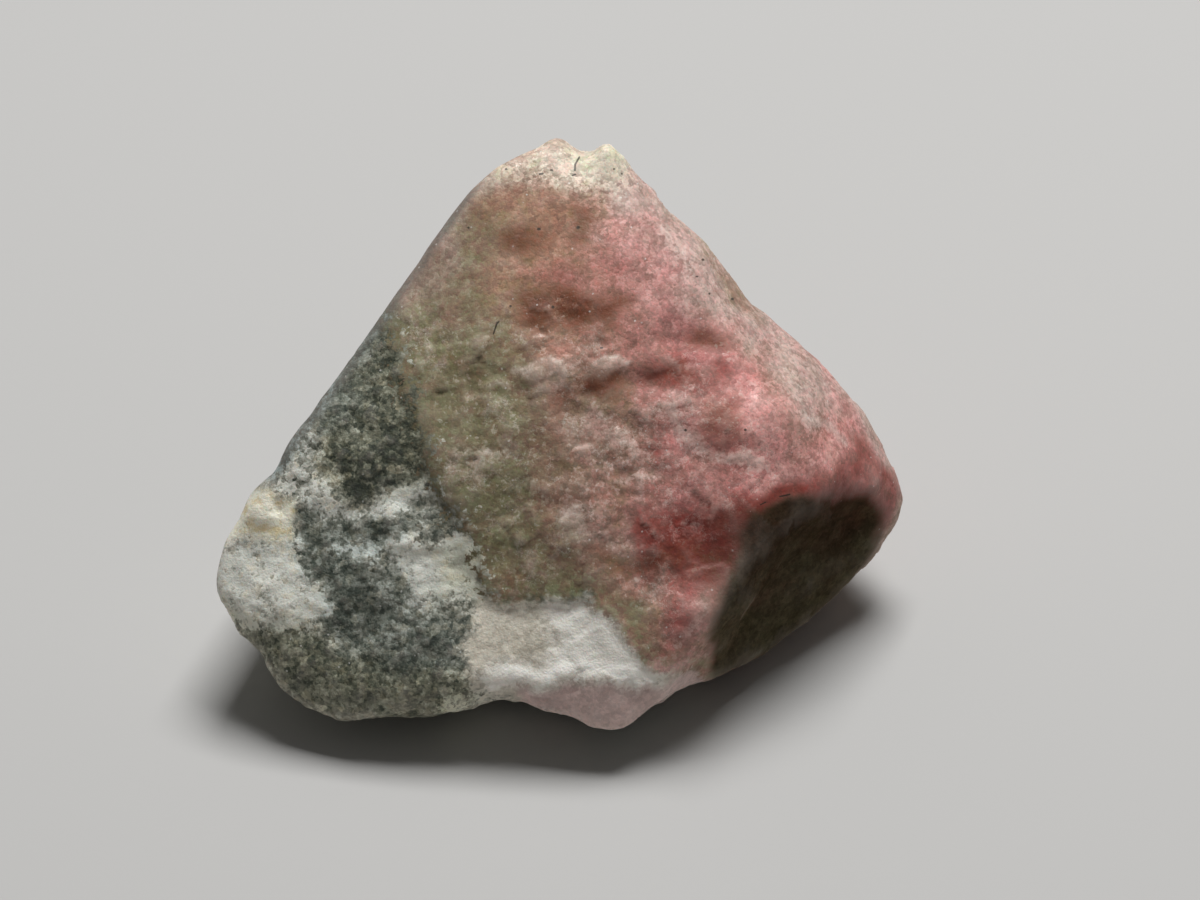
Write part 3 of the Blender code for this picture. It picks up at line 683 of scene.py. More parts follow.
# %% [markdown]
# ## Zones of the rock
#
# The rock is pale feldspar crowded with tiny needles of a blue-black mineral. How crowded it is
# changes from place to place, so one mask holds the crowding, and the shader turns it into
# grains. A second mask marks clean feldspar, a third the yellowish knob on the left
# shoulder, a fourth the bluish tone of the lower half, and a fifth the weathered brown parts.

# %% Zones of the rock
ROCK_ZONES = {  # name: [(strength, edge width in mm, outline)]
    "crowded": [
        (0.75, 0.9, [(-7.1, 3.6), (-6.3, 3.4), (-6.1, 2.2), (-5.9, 1.2), (-5.4, 0.8), (-5.3, -0.4),
            (-5.2, -1.0), (-6.0, -1.1), (-6.6, -1.5), (-7.6, -1.4), (-8.3, -0.9), (-8.4, 0.2), (-8.0, 1.3),
            (-7.5, 2.3)]),
        (0.7, 0.8, [(-7.4, 0.9), (-6.4, 0.6), (-5.4, 0.6), (-5.2, -0.6), (-5.6, -1.1), (-7.2, -1.1),
            (-8.0, -0.4)]),
        (0.5, 0.7, [(-7.2, 2.7), (-6.3, 2.7), (-6.0, 1.8), (-6.9, 1.6)]),
        (0.75, 1.2, [(-9.6, 0.4), (-8.8, 1.6), (-7.6, 3.0), (-7.2, 0.8), (-8.2, -0.4), (-9.4, -0.1)]),
        (0.6, 0.6, [(-9.8, -2.0), (-8.2, -2.0), (-6.6, -2.2), (-5.0, -2.1), (-4.6, -2.6), (-4.8, -3.1),
            (-6.2, -3.1), (-6.8, -3.2), (-7.3, -3.0), (-8.6, -3.1), (-9.4, -3.0)]),
        (0.65, 0.6, [(-9.4, -3.2), (-8.6, -3.4), (-8.2, -4.2), (-8.8, -4.5), (-9.4, -4.1)]),
        (0.55, 0.8, [(-8.6, -3.9), (-6.7, -4.0), (-6.2, -4.6), (-4.8, -4.8), (-4.2, -5.2), (-4.2, -6.6),
            (-3.8, -7.1), (-5.2, -7.9), (-6.8, -8.2), (-8.4, -7.8), (-9.8, -7.4), (-10.5, -6.4),
            (-9.4, -6.2), (-8.8, -5.4), (-8.7, -4.8)]),
        (0.55, 0.6, [(-8.9, -5.1), (-7.9, -5.0), (-7.6, -5.8), (-8.6, -5.9)]),
        (0.55, 0.7, [(-6.0, -5.8), (-4.4, -5.4), (-4.1, -6.8), (-5.4, -7.2)]),
        (0.60, 0.7, [(-8.2, -6.6), (-6.8, -6.7), (-6.6, -7.6), (-8.0, -7.7)]),
        (0.50, 0.7, [(-10.3, -6.4), (-9.2, -6.6), (-9.2, -7.4), (-10.1, -7.3)]),
        (0.45, 0.9, [(-11.2, -5.8), (-9.6, -5.8), (-9.4, -6.6), (-10.8, -6.8)]),
        (0.55, 0.8, [(-10.2, -7.4), (-8.0, -8.0), (-5.2, -8.2), (-5.0, -8.9), (-9.0, -9.0)]),
    ],
    "clean": [
        (0.60, 0.7, [(-9.9, 0.0), (-8.9, 0.1), (-8.2, -0.4), (-8.2, -1.3), (-7.9, -1.8), (-9.2, -2.0),
            (-10.0, -1.7), (-10.7, -1.0)]),
        (0.85, 0.6, [(-7.2, -1.6), (-6.2, -1.2), (-5.4, -1.3), (-5.0, -1.8), (-5.8, -2.1), (-7.0, -2.2)]),
        (0.45, 0.8, [(-8.4, -3.1), (-6.2, -3.2), (-6.4, -3.8), (-7.6, -3.9), (-8.6, -3.6)]),
        (1.0, 0.6, [(-6.5, -3.5), (-5.2, -3.0), (-4.0, -2.6), (-3.6, -3.8), (-3.9, -4.7), (-5.0, -4.8),
            (-6.0, -4.4), (-6.7, -4.1)]),
        (1.0, 0.7, [(-12.8, -4.0), (-12.3, -2.8), (-11.2, -2.7), (-10.2, -2.8), (-9.7, -2.6), (-9.6, -3.6),
            (-9.4, -4.3), (-8.8, -4.7), (-9.0, -5.3), (-10.0, -5.7), (-11.0, -5.6), (-12.2, -5.3)]),
        (0.6, 0.7, [(-4.8, -7.2), (-3.2, -7.2), (-3.4, -8.2), (-5.0, -8.3)]),
        (0.5, 0.6, [(-8.8, -5.9), (-8.0, -6.0), (-8.2, -6.4), (-9.0, -6.4)]),
    ],
    "cream": [
        (1.0, 0.45, [(-11.8, -2.3), (-11.2, -1.5), (-10.3, -1.6), (-9.6, -1.7), (-9.6, -2.2), (-9.9, -2.9),
            (-10.3, -3.1), (-11.2, -3.0), (-12.3, -3.0), (-12.4, -2.6)]),
    ],
    "blue": [
        (0.9, 1.2, [(-9.9, -2.2), (-8.4, -2.0), (-5.4, -2.3), (-6.4, -3.3), (-7.0, -4.2), (-4.4, -5.2),
            (-4.0, -6.6), (-5.4, -7.2), (-7.4, -6.8), (-9.0, -5.8), (-9.6, -3.8)]),
        (0.8, 0.8, [(-8.0, 3.2), (-7.2, 3.2), (-7.9, 1.8), (-9.0, 0.4), (-10.8, -0.9), (-11.0, -0.2)]),
    ],
    "weathered": [
        (0.8, 1.4, [(-6.9, 3.6), (-6.2, 3.2), (-5.2, 0.6), (-5.0, -1.2), (-6.4, -1.3), (-8.6, -0.8),
            (-9.2, 0.4)]),
        (0.9, 1.4, [(-12.0, -5.2), (-10.6, -5.6), (-9.0, -6.2), (-7.6, -6.8), (-4.0, -7.2), (-4.2, -9.0),
            (-10.0, -9.0)]),
        (0.6, 1.0, [(-5.6, -3.4), (-4.0, -3.0), (-3.6, -4.8), (-5.2, -4.7)]),
    ],
}
for name, outlines in ROCK_ZONES.items():
    store(name, zone(ragged(place, 0.35 if name == "cream" else 0.7), outlines))
print(len(ROCK_ZONES), "zones of the rock")


# %% Flakes, vein and lip
def free_edge(outline):
    """1 along the upper edge of a flake, where it stands free and gets a painted highlight."""
    on_edge = ease(1.0 - np.abs(inside(steady, outline) - 0.03) / 0.09)
    return on_edge * ease((steady[:, 1] - outline[-1][1] - 0.2) / 0.6)


store("flake", together([patch(steady, outline, 0.35) for outline in FLAKES]) * front)
# painted highlight along the upper edge of each flake
store("rim", together([free_edge(outline) for outline in FLAKES]) * front)
store("vein", patch(ragged(place, 0.8), WHITE_VEIN, 0.7) * front)
BRIGHT_VEIN = [
    (-2.2, -4.2), (-0.3, -4.2), (0.7, -5.3), (1.4, -6.3), (2.0, -7.0), (1.6, -7.4), (0.6, -7.6), (-0.8, -7.5),
    (-3.6, -7.8), (-3.9, -7.3), (-2.0, -6.8), (-1.7, -6.3), (-1.8, -5.4),
]
store("bright", patch(ragged(place, 0.6), BRIGHT_VEIN, 0.9) * front)
LIP = [
    (-2.6, -7.7), (0.4, -7.5), (2.0, -7.25), (3.2, -6.9), (5.4, -8.0), (5.0, -9.6), (1.6, -10.0), (0.6, -9.9),
    (-0.8, -9.4), (-2.4, -8.7),
]
store("lip", patch(ragged(place, 0.5), LIP, 0.5) * front)

# %% Pale streaks along the rims and crests, partly pale sugar and partly painted highlight
STREAKS = [  # (line, half width in mm, strength)
    ([(-0.3, 1.2), (0.3, 0.8), (0.9, 0.2), (1.2, -0.4)], 0.22, 0.6),
    ([(1.4, 1.5), (2.0, 1.2), (2.6, 0.5), (3.4, 0.1), (4.4, 0.0), (5.3, -0.4)], 0.30, 0.75),
    ([(3.7, 0.0), (4.4, -0.1), (5.4, -0.4)], 0.25, 0.7),
    ([(-2.9, 2.6), (-2.1, 2.5)], 0.25, 0.8),
    ([(0.4, -1.2), (1.2, -0.95), (2.2, -0.8)], 0.16, 0.6),
    ([(1.2, -0.9), (1.5, -1.7)], 0.14, 0.35),
    ([(6.6, 1.5), (7.3, 0.8), (7.7, -0.2)], 0.25, 0.8),
    ([(1.8, 7.3), (2.6, 6.2), (3.2, 5.3)], 0.30, 0.5),
    ([(-4.0, 2.1), (-3.4, 2.1), (-2.8, 1.9)], 0.14, 0.4),
    ([(-2.6, -0.7), (-1.9, -1.2), (-1.6, -1.7)], 0.30, 0.45),
    ([(-1.3, -2.1), (-0.6, -1.9), (0.1, -2.1)], 0.18, 0.45),
    ([(-2.9, -3.9), (-2.6, -3.7)], 0.2, 0.4),
    ([(0.8, -4.0), (1.7, -3.9)], 0.15, 0.2),
    ([(2.2, -6.0), (2.8, -5.7), (3.5, -5.0), (3.3, -4.4)], 0.28, 0.45),
    ([(2.6, -2.4), (3.3, -2.4)], 0.18, 0.4),
    ([(-4.6, 0.0), (-3.6, 0.2), (-3.0, 0.0)], 0.3, 0.4),
    # painted highlight along the crest of the vein
    ([(-3.9, -7.5), (-2.5, -7.35), (0.0, -7.2), (1.6, -7.05)], 0.50, 0.6),
]
streaks = [strength * stroke(wandering, line, width) for line, width, strength in STREAKS]
store("streak_and_highlight", together(streaks) * front)

# %% [markdown]
# ## Crests and hollows
#
# Handling polishes the crests a little, and the hollows are made darker and browner. Both follow from the
# relief alone: a point that stands above the mean of its neighbours is a crest. The mean is taken a few times
# over, which widens the neighbourhood to a few tenths of a millimetre.


# %% Measure how far each point stands proud
def stand_proud(rounds):
    """How far each point lies above a smoothed copy of the skin, in mm."""
    points, normals = read_points(skin), read_normals(skin)
    ends = np.empty(len(skin.edges) * 2, np.int32)
    skin.edges.foreach_get("vertices", ends)
    one, other = ends.reshape(-1, 2).T
    count = np.bincount(ends, minlength=len(points))[:, None]
    smooth = points
    for _ in range(rounds):
        total = np.zeros_like(smooth)
        for axis in range(3):
            total[:, axis] = np.bincount(one, smooth[other, axis], len(points))
            total[:, axis] += np.bincount(other, smooth[one, axis], len(points))
        smooth = 0.5 * smooth + 0.5 * total / count
    return ((points - smooth) * normals).sum(axis=1)


proud = stand_proud(24)
store("crest", ease(proud / 0.06))
store("hollow", ease(-proud / 0.07))

# %% [markdown]
# ## Into metres, and onto the model
#
# The carving is done, so the skin goes back to metres, is shaded smooth, takes the place of
# the plain solid and rides on its body.

# %% Put the stone in place
skin.transform(Matrix.Scale(0.001, 4))
skin.shade_smooth()
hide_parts(node_name)
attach(stone, "root")
print("stone in place:", len(skin.polygons), "faces")

# %% [markdown]
# ## Building node trees in code
#
# A material drawn by hand is a picture of boxes and wires. In code each box is one call: the
# helper adds a node, sets its menus, and fills or links its inputs. A sum helper finds the
# tree by itself, from the wires that it is given. A shader node group is a tree of its own
# with named inputs and outputs, made once and used wherever the effect is needed.


# %% Helpers that add nodes and groups
def linked(value):
    """True for the end of a wire, False for a plain number or colour."""
    return isinstance(value, bpy.types.NodeSocket)


def fill(node, inputs):
    """Links or sets the inputs of a node, each given by its name or its number."""
    for name, value in inputs.items():
        socket = node.inputs[name]
        if linked(value):
            node.id_data.links.new(value, socket)
        elif isinstance(value, tuple) and len(value) == 3 and socket.type == "RGBA":
            socket.default_value = (*value, 1.0)
        else:
            socket.default_value = value


def add(tree, kind, inputs={}, **menus):
    """A node of this kind with its menus set and its inputs filled or linked."""
    node = tree.nodes.new(kind)
    for name, value in menus.items():
        setattr(node, name, value)
    fill(node, inputs)
    return node


def new_group(name, inputs, outputs):
    """An empty group with its sockets: {name: (kind, default)} in, {name: kind} out."""
    group = bpy.data.node_groups.new(name, "ShaderNodeTree")
    for socket_name, (kind, default) in inputs.items():
        socket = group.interface.new_socket(socket_name, in_out="INPUT", socket_type="NodeSocket" + kind)
        if default is not None:
            socket.default_value = default
    for socket_name, kind in outputs.items():
        group.interface.new_socket(socket_name, in_out="OUTPUT", socket_type="NodeSocket" + kind)
    return group, group.nodes.new("NodeGroupInput").outputs, group.nodes.new("NodeGroupOutput")


def use(tree, group, **inputs):
    """One use of a group, with its own values. An underscore in a name stands for a space."""
    spaced = {name.replace("_", " "): value for name, value in inputs.items()}
    return add(tree, "ShaderNodeGroup", spaced, node_tree=group).outputs


print("nodes and groups can be added")


# %% Helpers that do sums with nodes
def tree_of(values):
    """The tree that the linked ones of these values belong to."""
    return next(value.id_data for value in values if linked(value))


def maths(operation, *values, clamp=False):
    """One Math node."""
    inputs = dict(enumerate(values))
    return add(tree_of(values), "ShaderNodeMath", inputs, operation=operation, use_clamp=clamp).outputs[0]


def times(*values):
    """All of the values multiplied."""
    return functools.reduce(lambda a, b: maths("MULTIPLY", a, b), values)


def plus(*values):
    """All of the values added up."""
    return functools.reduce(lambda a, b: maths("ADD", a, b), values)


def less(a, b):
    """The first value less the second."""
    return maths("SUBTRACT", a, b)


def shifted(place, by, operation="ADD"):
    """A place moved by a vector, or back by it where the operation is SUBTRACT."""
    tree = tree_of((place, by))
    return add(tree, "ShaderNodeVectorMath", {0: place, 1: by}, operation=operation).outputs[0]


def between(value, low, high, to_low=0.0, to_high=1.0):
    """A value's range turned softly into another range."""
    return add(value.id_data, "ShaderNodeMapRange", {
        "Value": value, "From Min": low, "From Max": high, "To Min": to_low, "To Max": to_high,
    }, interpolation_type="SMOOTHSTEP").outputs[0]


print("sums can be done")


# %% Helpers that mix colours
def mix(share, a, b, blend="MIX"):
    """Colour a turned into colour b by a share from 0 to 1."""
    return add(tree_of((share, a, b)), "ShaderNodeMix", {0: share, 6: a, 7: b},
               data_type="RGBA", blend_type=blend, clamp_factor=True).outputs[2]


def tinted(colour, tint):
    """A colour multiplied by a tint; above 1 the tint brightens."""
    return mix(1.0, colour, tint, "MULTIPLY")


def washed(colour, share, tint):
    """A colour that a tint has soaked into, as far as the share says."""
    return mix(share, colour, tinted(colour, tint))


def toned(colour, tone):
    """A colour made darker or lighter by a number around 1."""
    grey = add(tone.id_data, "ShaderNodeCombineColor", {"Red": tone, "Green": tone, "Blue": tone})
    return tinted(colour, grey.outputs[0])


print("colours can be mixed")

# %% [markdown]
# ## Group: where on the stone
#
# Every pattern has to stick to the stone and be measured in millimetres. The object's own
# coordinates are in metres and stand upright, so this group scales them and turns them onto
# the axes of the face.

# %% Group "place on the stone"
MM_PER_METRE = 1000.0

where_group, _, end = new_group("place on the stone", {}, {"Place": "Vector"})
face_shift = Matrix((ACROSS, UP, OUT)) @ FACE_MIDDLE
to_face = add(where_group, "ShaderNodeMapping", {
    "Vector": add(where_group, "ShaderNodeTexCoord").outputs["Object"],
    "Location": tuple(-v for v in face_shift),
    "Rotation": (LEAN - math.pi / 2, 0.0, 0.0),
    "Scale": (MM_PER_METRE, MM_PER_METRE, MM_PER_METRE),
}, vector_type="POINT")
fill(end, {"Place": to_face.outputs[0]})
print("face middle on the turned axes:", [round(v, 2) for v in face_shift])

# %% [markdown]
# ## Group: broken edge
#
# A soft mask on its own looks airbrushed. Here a fine pattern pushes the mask up and down,
# most where the mask is half way, so that its edge falls apart into specks the size of the
# pattern's grains while its middle and the far outside stay as they are.

# %% Group "broken edge"
broken_group, start, end = new_group(
    "broken edge",
    {"Mask": ("Float", 0.0), "Grain": ("Float", 0.5), "Break": ("Float", 2.0)},
    {"Mask": "Float"},
)
half_way = times(start["Mask"], less(1.0, start["Mask"]), 4.0)  # 1 where the mask is a half
swing = times(less(start["Grain"], 0.5), start["Break"])
fill(end, {"Mask": maths("ADD", start["Mask"], times(swing, half_way), clamp=True)})
print("group ready: broken edge")

# %% [markdown]
# ## Group: crystal grains
#
# Under a lens both minerals are masses of crystals. Each Voronoi cell is one grain: its
# random colour gives the grain a tone of its own, and the distance to its middle gives it
# a rounded top for the bump.

# %% Group "crystal grains"
grains_group, start, end = new_group(
    "crystal grains",
    {"Place": ("Vector", None), "Per mm": ("Float", 5.0),
     "Stray": ("Float", 0.15), "Stray per mm": ("Float", 6.0)},
    {"Tone": "Float", "Hue": "Float", "Top": "Float"},
)
drift = add(grains_group, "ShaderNodeTexNoise", {
    "Vector": start["Place"], "Scale": start["Stray per mm"], "Detail": 1.0,
}).outputs["Color"]
stray = add(grains_group, "ShaderNodeVectorMath", {
    0: shifted(drift, (0.5, 0.5, 0.5), "SUBTRACT"), "Scale": start["Stray"],
}, operation="SCALE").outputs[0]
cells = add(grains_group, "ShaderNodeTexVoronoi", {
    "Vector": shifted(start["Place"], stray), "Scale": start["Per mm"],
}, voronoi_dimensions="3D", feature="F1").outputs
random = add(grains_group, "ShaderNodeSeparateColor", {"Color": cells["Color"]}).outputs
fill(end, {"Tone": random[0], "Hue": random[1], "Top": maths("SUBTRACT", 1.0, cells["Distance"], clamp=True)})
print("group ready: crystal grains")

# %% [markdown]
# ## Group: thin mark
#
# A few dark needles and specks are too fine for the mesh. Each is a short stroke: the
# distance from a line through its middle, measured in the plane of the face. The strokes
# are placed one by one and joined.

# %% Group "thin mark"
mark_group, start, end = new_group(
    "thin mark",
    {"Place": ("Vector", None), "Middle": ("Vector", (0.0, 0.0, 0.0)), "Turn": ("Float", 0.0),
     "Half length": ("Float", 0.1), "Half width": ("Float", 0.05)},
    {"Mask": "Float"},
)
turned = add(mark_group, "ShaderNodeVectorRotate", {
    "Vector": shifted(start["Place"], start["Middle"], "SUBTRACT"), "Angle": start["Turn"],
}, rotation_type="Z_AXIS", invert=True).outputs[0]
lengthwise, sideways, _ = add(mark_group, "ShaderNodeSeparateXYZ", {"Vector": turned}).outputs
past = maths("MAXIMUM", less(maths("ABSOLUTE", lengthwise), start["Half length"]), 0.0)
gap = maths("SQRT", plus(times(past, past), times(sideways, sideways)))
fill(end, {"Mask": between(maths("DIVIDE", gap, start["Half width"]), 0.55, 1.2, 1.0, 0.0)})
print("group ready: thin mark")

# %% [markdown]
# ## The stone's material
#
# The whole specimen is one natural piece, so it gets one material. First come the patterns
# that all layers share: broad clouds, small mottles and a sugary sparkle of grains. Then the two
# minerals are built up colour by colour, and at the end one is laid over the other.

# %% Start the material: place, masks and shared patterns
material = bpy.data.materials.new("tugtupite and speckled rock")
material.use_nodes = True
tree = material.node_tree
shader = tree.nodes["Principled BSDF"]
skin.materials.clear()
skin.materials.append(material)

here = use(tree, where_group)["Place"]
masks = {name: add(tree, "ShaderNodeAttribute", attribute_name=name).outputs["Fac"] for name in stored}


def cloud(size, detail=3.0, rough=0.6, shift=0.0):
    """A cloudy pattern whose blotches are about this many mm across, from 0 to 1."""
    return add(tree, "ShaderNodeTexNoise", {
        "Vector": shifted(here, (shift, shift * 0.7, -shift)),
        "Scale": 1.0 / size, "Detail": detail, "Roughness": rough,
    }).outputs["Fac"]


broad = cloud(2.4, 3.0)
mottle = cloud(0.85, 5.0, 0.66, 5.0)
fine = cloud(0.22, 4.0, 0.66, 11.0)
dust = cloud(0.07, 2.0, 0.6, 41.0)
big_grains = use(tree, grains_group, Place=here, Per_mm=5.0, Stray=0.16, Stray_per_mm=7.0)
small_grains = use(tree, grains_group, Place=here, Per_mm=10.5, Stray=0.07, Stray_per_mm=14.0)
print(len(masks), "masks and six shared patterns ready")


# %% Speckle: two sizes of grain and some dust, mixed into one tone
speckle = plus(times(big_grains["Tone"], 0.36), times(small_grains["Tone"], 0.34), times(dust, 0.30))
blotches = plus(times(mottle, 0.5), times(speckle, 0.5))


def broken(name, crumble, grain=blotches):
    """A stored mask with its edge broken up by a pattern; the more crumble, the wider."""
    return use(tree, broken_group, Mask=masks[name], Grain=grain, Break=crumble)["Mask"]


print("speckle ready")

# %% [markdown]
# ### Tugtupite colours
#
# The base is a dull pinkish brown, and each zone lays its colour over it through a broken edge.
# The order matters: the stains and the white go on last, because they lie on top of the rose
# on the real stone too.

# %% Tugtupite colours
TUGTUPITE_BROWNS = (0.28, 0.178, 0.122), (0.365, 0.225, 0.162)
TUGTUPITE_LAYERS = [  # (mask, colour, strength, crumble)
    ("upper_brown", (0.43, 0.228, 0.145), 0.9, 1.6),
    ("olive", (0.225, 0.210, 0.115), 0.85, 2.2),
    ("rose", (0.56, 0.250, 0.232), 1.0, 1.6),
    ("pale", (0.61, 0.460, 0.425), 0.9, 1.0),
    # the deep rose layer is partly deeper colour and partly painted shade
    ("deep_rose_and_shade", (0.30, 0.066, 0.048), 0.95, 1.6),
    ("stain", (0.190, 0.066, 0.026), 0.80, 3.4),
    ("white", (0.72, 0.645, 0.530), 1.0, 2.0),
]
tugtupite = mix(between(broad, 0.35, 0.65), *TUGTUPITE_BROWNS)
for name, colour, strength, crumble in TUGTUPITE_LAYERS:
    tugtupite = mix(times(broken(name, crumble), strength), tugtupite, colour)
print(len(TUGTUPITE_LAYERS), "colours laid over the base")

# %% [markdown]
# ### Sugar in the tugtupite
#
# Close up the colour is never even: pale clouds about a millimetre across, darker ones between
# them, patches that lean to pink or to olive, and thin pale cracks. All of these come from
# noise, and the zones only say where they are strong. The strong colours then soak into the
# pale clouds too, and every grain takes a tone of its own.

# %% Clouds, patches and cracks
PALE_SUGAR, PINK_SUGAR = (0.68, 0.52, 0.45), (0.76, 0.47, 0.43)
DARK_CLOUD, PALE_CRACK = (0.20, 0.110, 0.075), (0.82, 0.72, 0.66)
TO_PINK, TO_OLIVE = (1.16, 0.97, 1.00), (0.86, 0.98, 0.78)

sugar = mix(masks["rose"], PALE_SUGAR, PINK_SUGAR)
tugtupite = mix(times(between(mottle, 0.48, 0.72), 0.24), tugtupite, sugar)
tugtupite = mix(times(between(mottle, 0.50, 0.30), 0.24), tugtupite, DARK_CLOUD)
patches = cloud(1.0, 6.0, 0.72, 73.0)
pinker, greener = tinted(tugtupite, TO_PINK), tinted(tugtupite, TO_OLIVE)
away_from_rose = between(plus(masks["rose"], masks["pale"]), 0.2, 0.7, 0.70, 0.15)
tugtupite = mix(times(between(patches, 0.50, 0.60), 0.55), tugtupite, pinker)
tugtupite = mix(times(between(patches, 0.48, 0.38), away_from_rose), tugtupite, greener)
scales = cloud(1.3, 5.0, 0.68, 83.0)
tugtupite = mix(times(between(scales, 0.555, 0.625), masks["hackly"], 0.30), tugtupite, sugar)
cracks = between(maths("ABSOLUTE", less(patches, 0.5)), 0.016, 0.002)  # where the patches cross a half
tugtupite = mix(times(cracks, between(scales, 0.47, 0.56), masks["hackly"], 0.38), tugtupite, PALE_CRACK)
print("clouds and cracks ready")

# %% Washes, and a tone for each grain
WASHES = [  # (mask, tint)
    ("rose", (1.0, 0.92, 0.93)),
    # painted light: a tint above 1 brightens three patches
    ("painted_light", (1.28, 1.13, 1.13)),
    # this darkening wash is partly deeper rose and partly painted shade
    ("deep_rose_and_shade", (0.84, 0.67, 0.66)),
    ("stain", (0.67, 0.47, 0.33)),
]
WARM_GRAIN, COOL_GRAIN = (1.06, 0.98, 0.97), (0.95, 1.02, 0.98)

for name, tint in WASHES:
    tugtupite = washed(tugtupite, masks[name], tint)
grain_tone = between(speckle, 0.15, 0.85, 0.74, 1.26)
tugtupite = toned(tugtupite, grain_tone)
tugtupite = tinted(tugtupite, mix(small_grains["Hue"], WARM_GRAIN, COOL_GRAIN))
print(len(WASHES), "washes and the grains ready")

# %% [markdown]
# ### Specks, white grains and flakes
#
# On top lie the small things that catch the eye: brown specks, green spots near the rock, white grains where
# the face is hackly, pale streaks along the broken rims and crests, which are partly pale sugar and partly
# painted highlight, and the three thin flakes, whose upper edges carry a painted highlight. Each is a share
# and a colour, laid on in turn.

# %% Specks, white grains, streaks and flakes
brown_specks = between(cloud(0.30, 3.0, 0.7, 53.0), 0.64, 0.74)
green_spots = between(plus(times(cloud(0.42, 4.0, 0.7, 31.0), 0.75), times(speckle, 0.25)), 0.45, 0.58)
greenish = maths("MAXIMUM", masks["green"], times(masks["olive"], 0.45))
white_grains = times(between(speckle, 0.66, 0.86), plus(masks["hackly"], 0.45))
white_grains = times(white_grains, between(masks["deep_rose_and_shade"], 0.0, 0.8, 1.0, 0.25))
streak_cut = broken("streak_and_highlight", 3.2)
SPECKS = [  # (share, colour)
    (times(brown_specks, 0.45), (0.17, 0.085, 0.040)),
    (times(green_spots, greenish, 0.7), (0.255, 0.280, 0.145)),
    (times(white_grains, 0.26), (0.84, 0.74, 0.67)),
    # streaks: partly pale sugar, partly painted highlight on the rims and crests
    (times(streak_cut, 0.48), (0.80, 0.68, 0.60)),
    (times(masks["flake"], 0.26), (0.60, 0.47, 0.39)),
    # painted highlight on the upper edges of the flakes
    (times(masks["rim"], between(blotches, 0.38, 0.56, 0.12, 0.60)), (0.86, 0.76, 0.66)),
]
for share, colour in SPECKS:
    tugtupite = mix(share, tugtupite, colour)
print(len(SPECKS), "small things laid on")

# %% [markdown]
# ### Rock colours
#
# Pale feldspar crowded with dark needles reads as salt and pepper. Here every grain takes its
# own tone from the speckle, and one colour ramp turns that tone into black-green, grey or
# white. The zones only push the tone down where dark grains crowd together, and up where the
# feldspar is clean, so both sorts of grain are found everywhere, as they are in the real rock.

# %% Rock colours
ROCK_RAMP = [  # (tone, colour)
    (0.10, (0.030, 0.037, 0.028)),
    (0.32, (0.075, 0.085, 0.065)),
    (0.50, (0.200, 0.205, 0.165)),
    (0.68, (0.370, 0.370, 0.315)),
    (0.95, (0.760, 0.765, 0.690)),
]
clots = cloud(0.80, 3.0, 0.62, 23.0)
rock_tone = plus(
    speckle,
    times(less(clots, 0.5), 0.80),
    times(less(fine, 0.5), 0.60),
    times(broken("crowded", 1.8), -0.27),
    times(broken("clean", 1.8), 0.42),
    0.115,  # the whole rock a little lighter
)
ramp = add(tree, "ShaderNodeValToRGB", {"Fac": rock_tone})
while len(ramp.color_ramp.elements) < len(ROCK_RAMP):
    ramp.color_ramp.elements.new(0.5)
for stop, (tone, colour) in zip(ramp.color_ramp.elements, ROCK_RAMP):
    stop.position, stop.color = tone, (*colour, 1.0)
rock = ramp.outputs["Color"]
ROCK_WASHES = [  # (share, tint): the bluish parts, the weathered ones, and rust in single grains
    (times(masks["blue"], 0.8), (0.92, 1.01, 1.05)),
    (times(masks["weathered"], 0.8), (0.96, 0.96, 0.78)),
    (times(between(big_grains["Hue"], 0.70, 0.95), 0.25), (1.18, 0.98, 0.72)),
]
for share, tint in ROCK_WASHES:
    rock = washed(rock, share, tint)
print("rock ramp with", len(ROCK_RAMP), "stops and", len(ROCK_WASHES), "washes")

# %% The yellow knob on the left shoulder
YELLOW, WHITE_CRUMB, DARK_CRUMB = (0.86, 0.73, 0.44), (1.0, 0.97, 0.80), (0.30, 0.23, 0.12)

cream = mix(between(cloud(0.45, 4.0, 0.7, 61.0), 0.36, 0.54), YELLOW, WHITE_CRUMB)
cream = mix(times(between(cloud(0.40, 4.0, 0.75, 67.0), 0.59, 0.70), 0.6), cream, DARK_CRUMB)
rock = mix(times(broken("cream", 2.0), 0.95), rock, cream)
print("yellow knob ready")

# %% [markdown]
# ### The white vein, and one mineral over the other
#
# The vein is the palest thing on the stone after the crown: sugary white with a breath of pink,
# pinker on the lip that hangs below its crest. Where the tugtupite meets the rock there is often
# a dark green seam, which comes and goes along the boundary.

# %% The vein and its lip
VEIN_CREAMS = (0.53, 0.480, 0.390), (0.72, 0.670, 0.565)
LIP_PINK, BRIGHT_WHITE, STREAK_WHITE = (0.68, 0.475, 0.450), (1.0, 0.96, 0.88), (1.0, 0.97, 0.91)

vein = mix(between(mottle, 0.35, 0.65), *VEIN_CREAMS)
vein = mix(times(broken("lip", 1.8, fine), 0.8), vein, LIP_PINK)
vein = toned(vein, between(speckle, 0.15, 0.85, 0.84, 1.16))
vein = mix(times(broken("bright", 2.0), 0.88), vein, BRIGHT_WHITE)
# the streaks in the vein are a painted highlight along its crest
vein = mix(times(streak_cut, 0.8), vein, STREAK_WHITE)
rock = mix(broken("vein", 2.4), rock, vein)
print("vein ready")

# %% The boundary and its seam
SEAM_GREEN = (0.065, 0.075, 0.038)

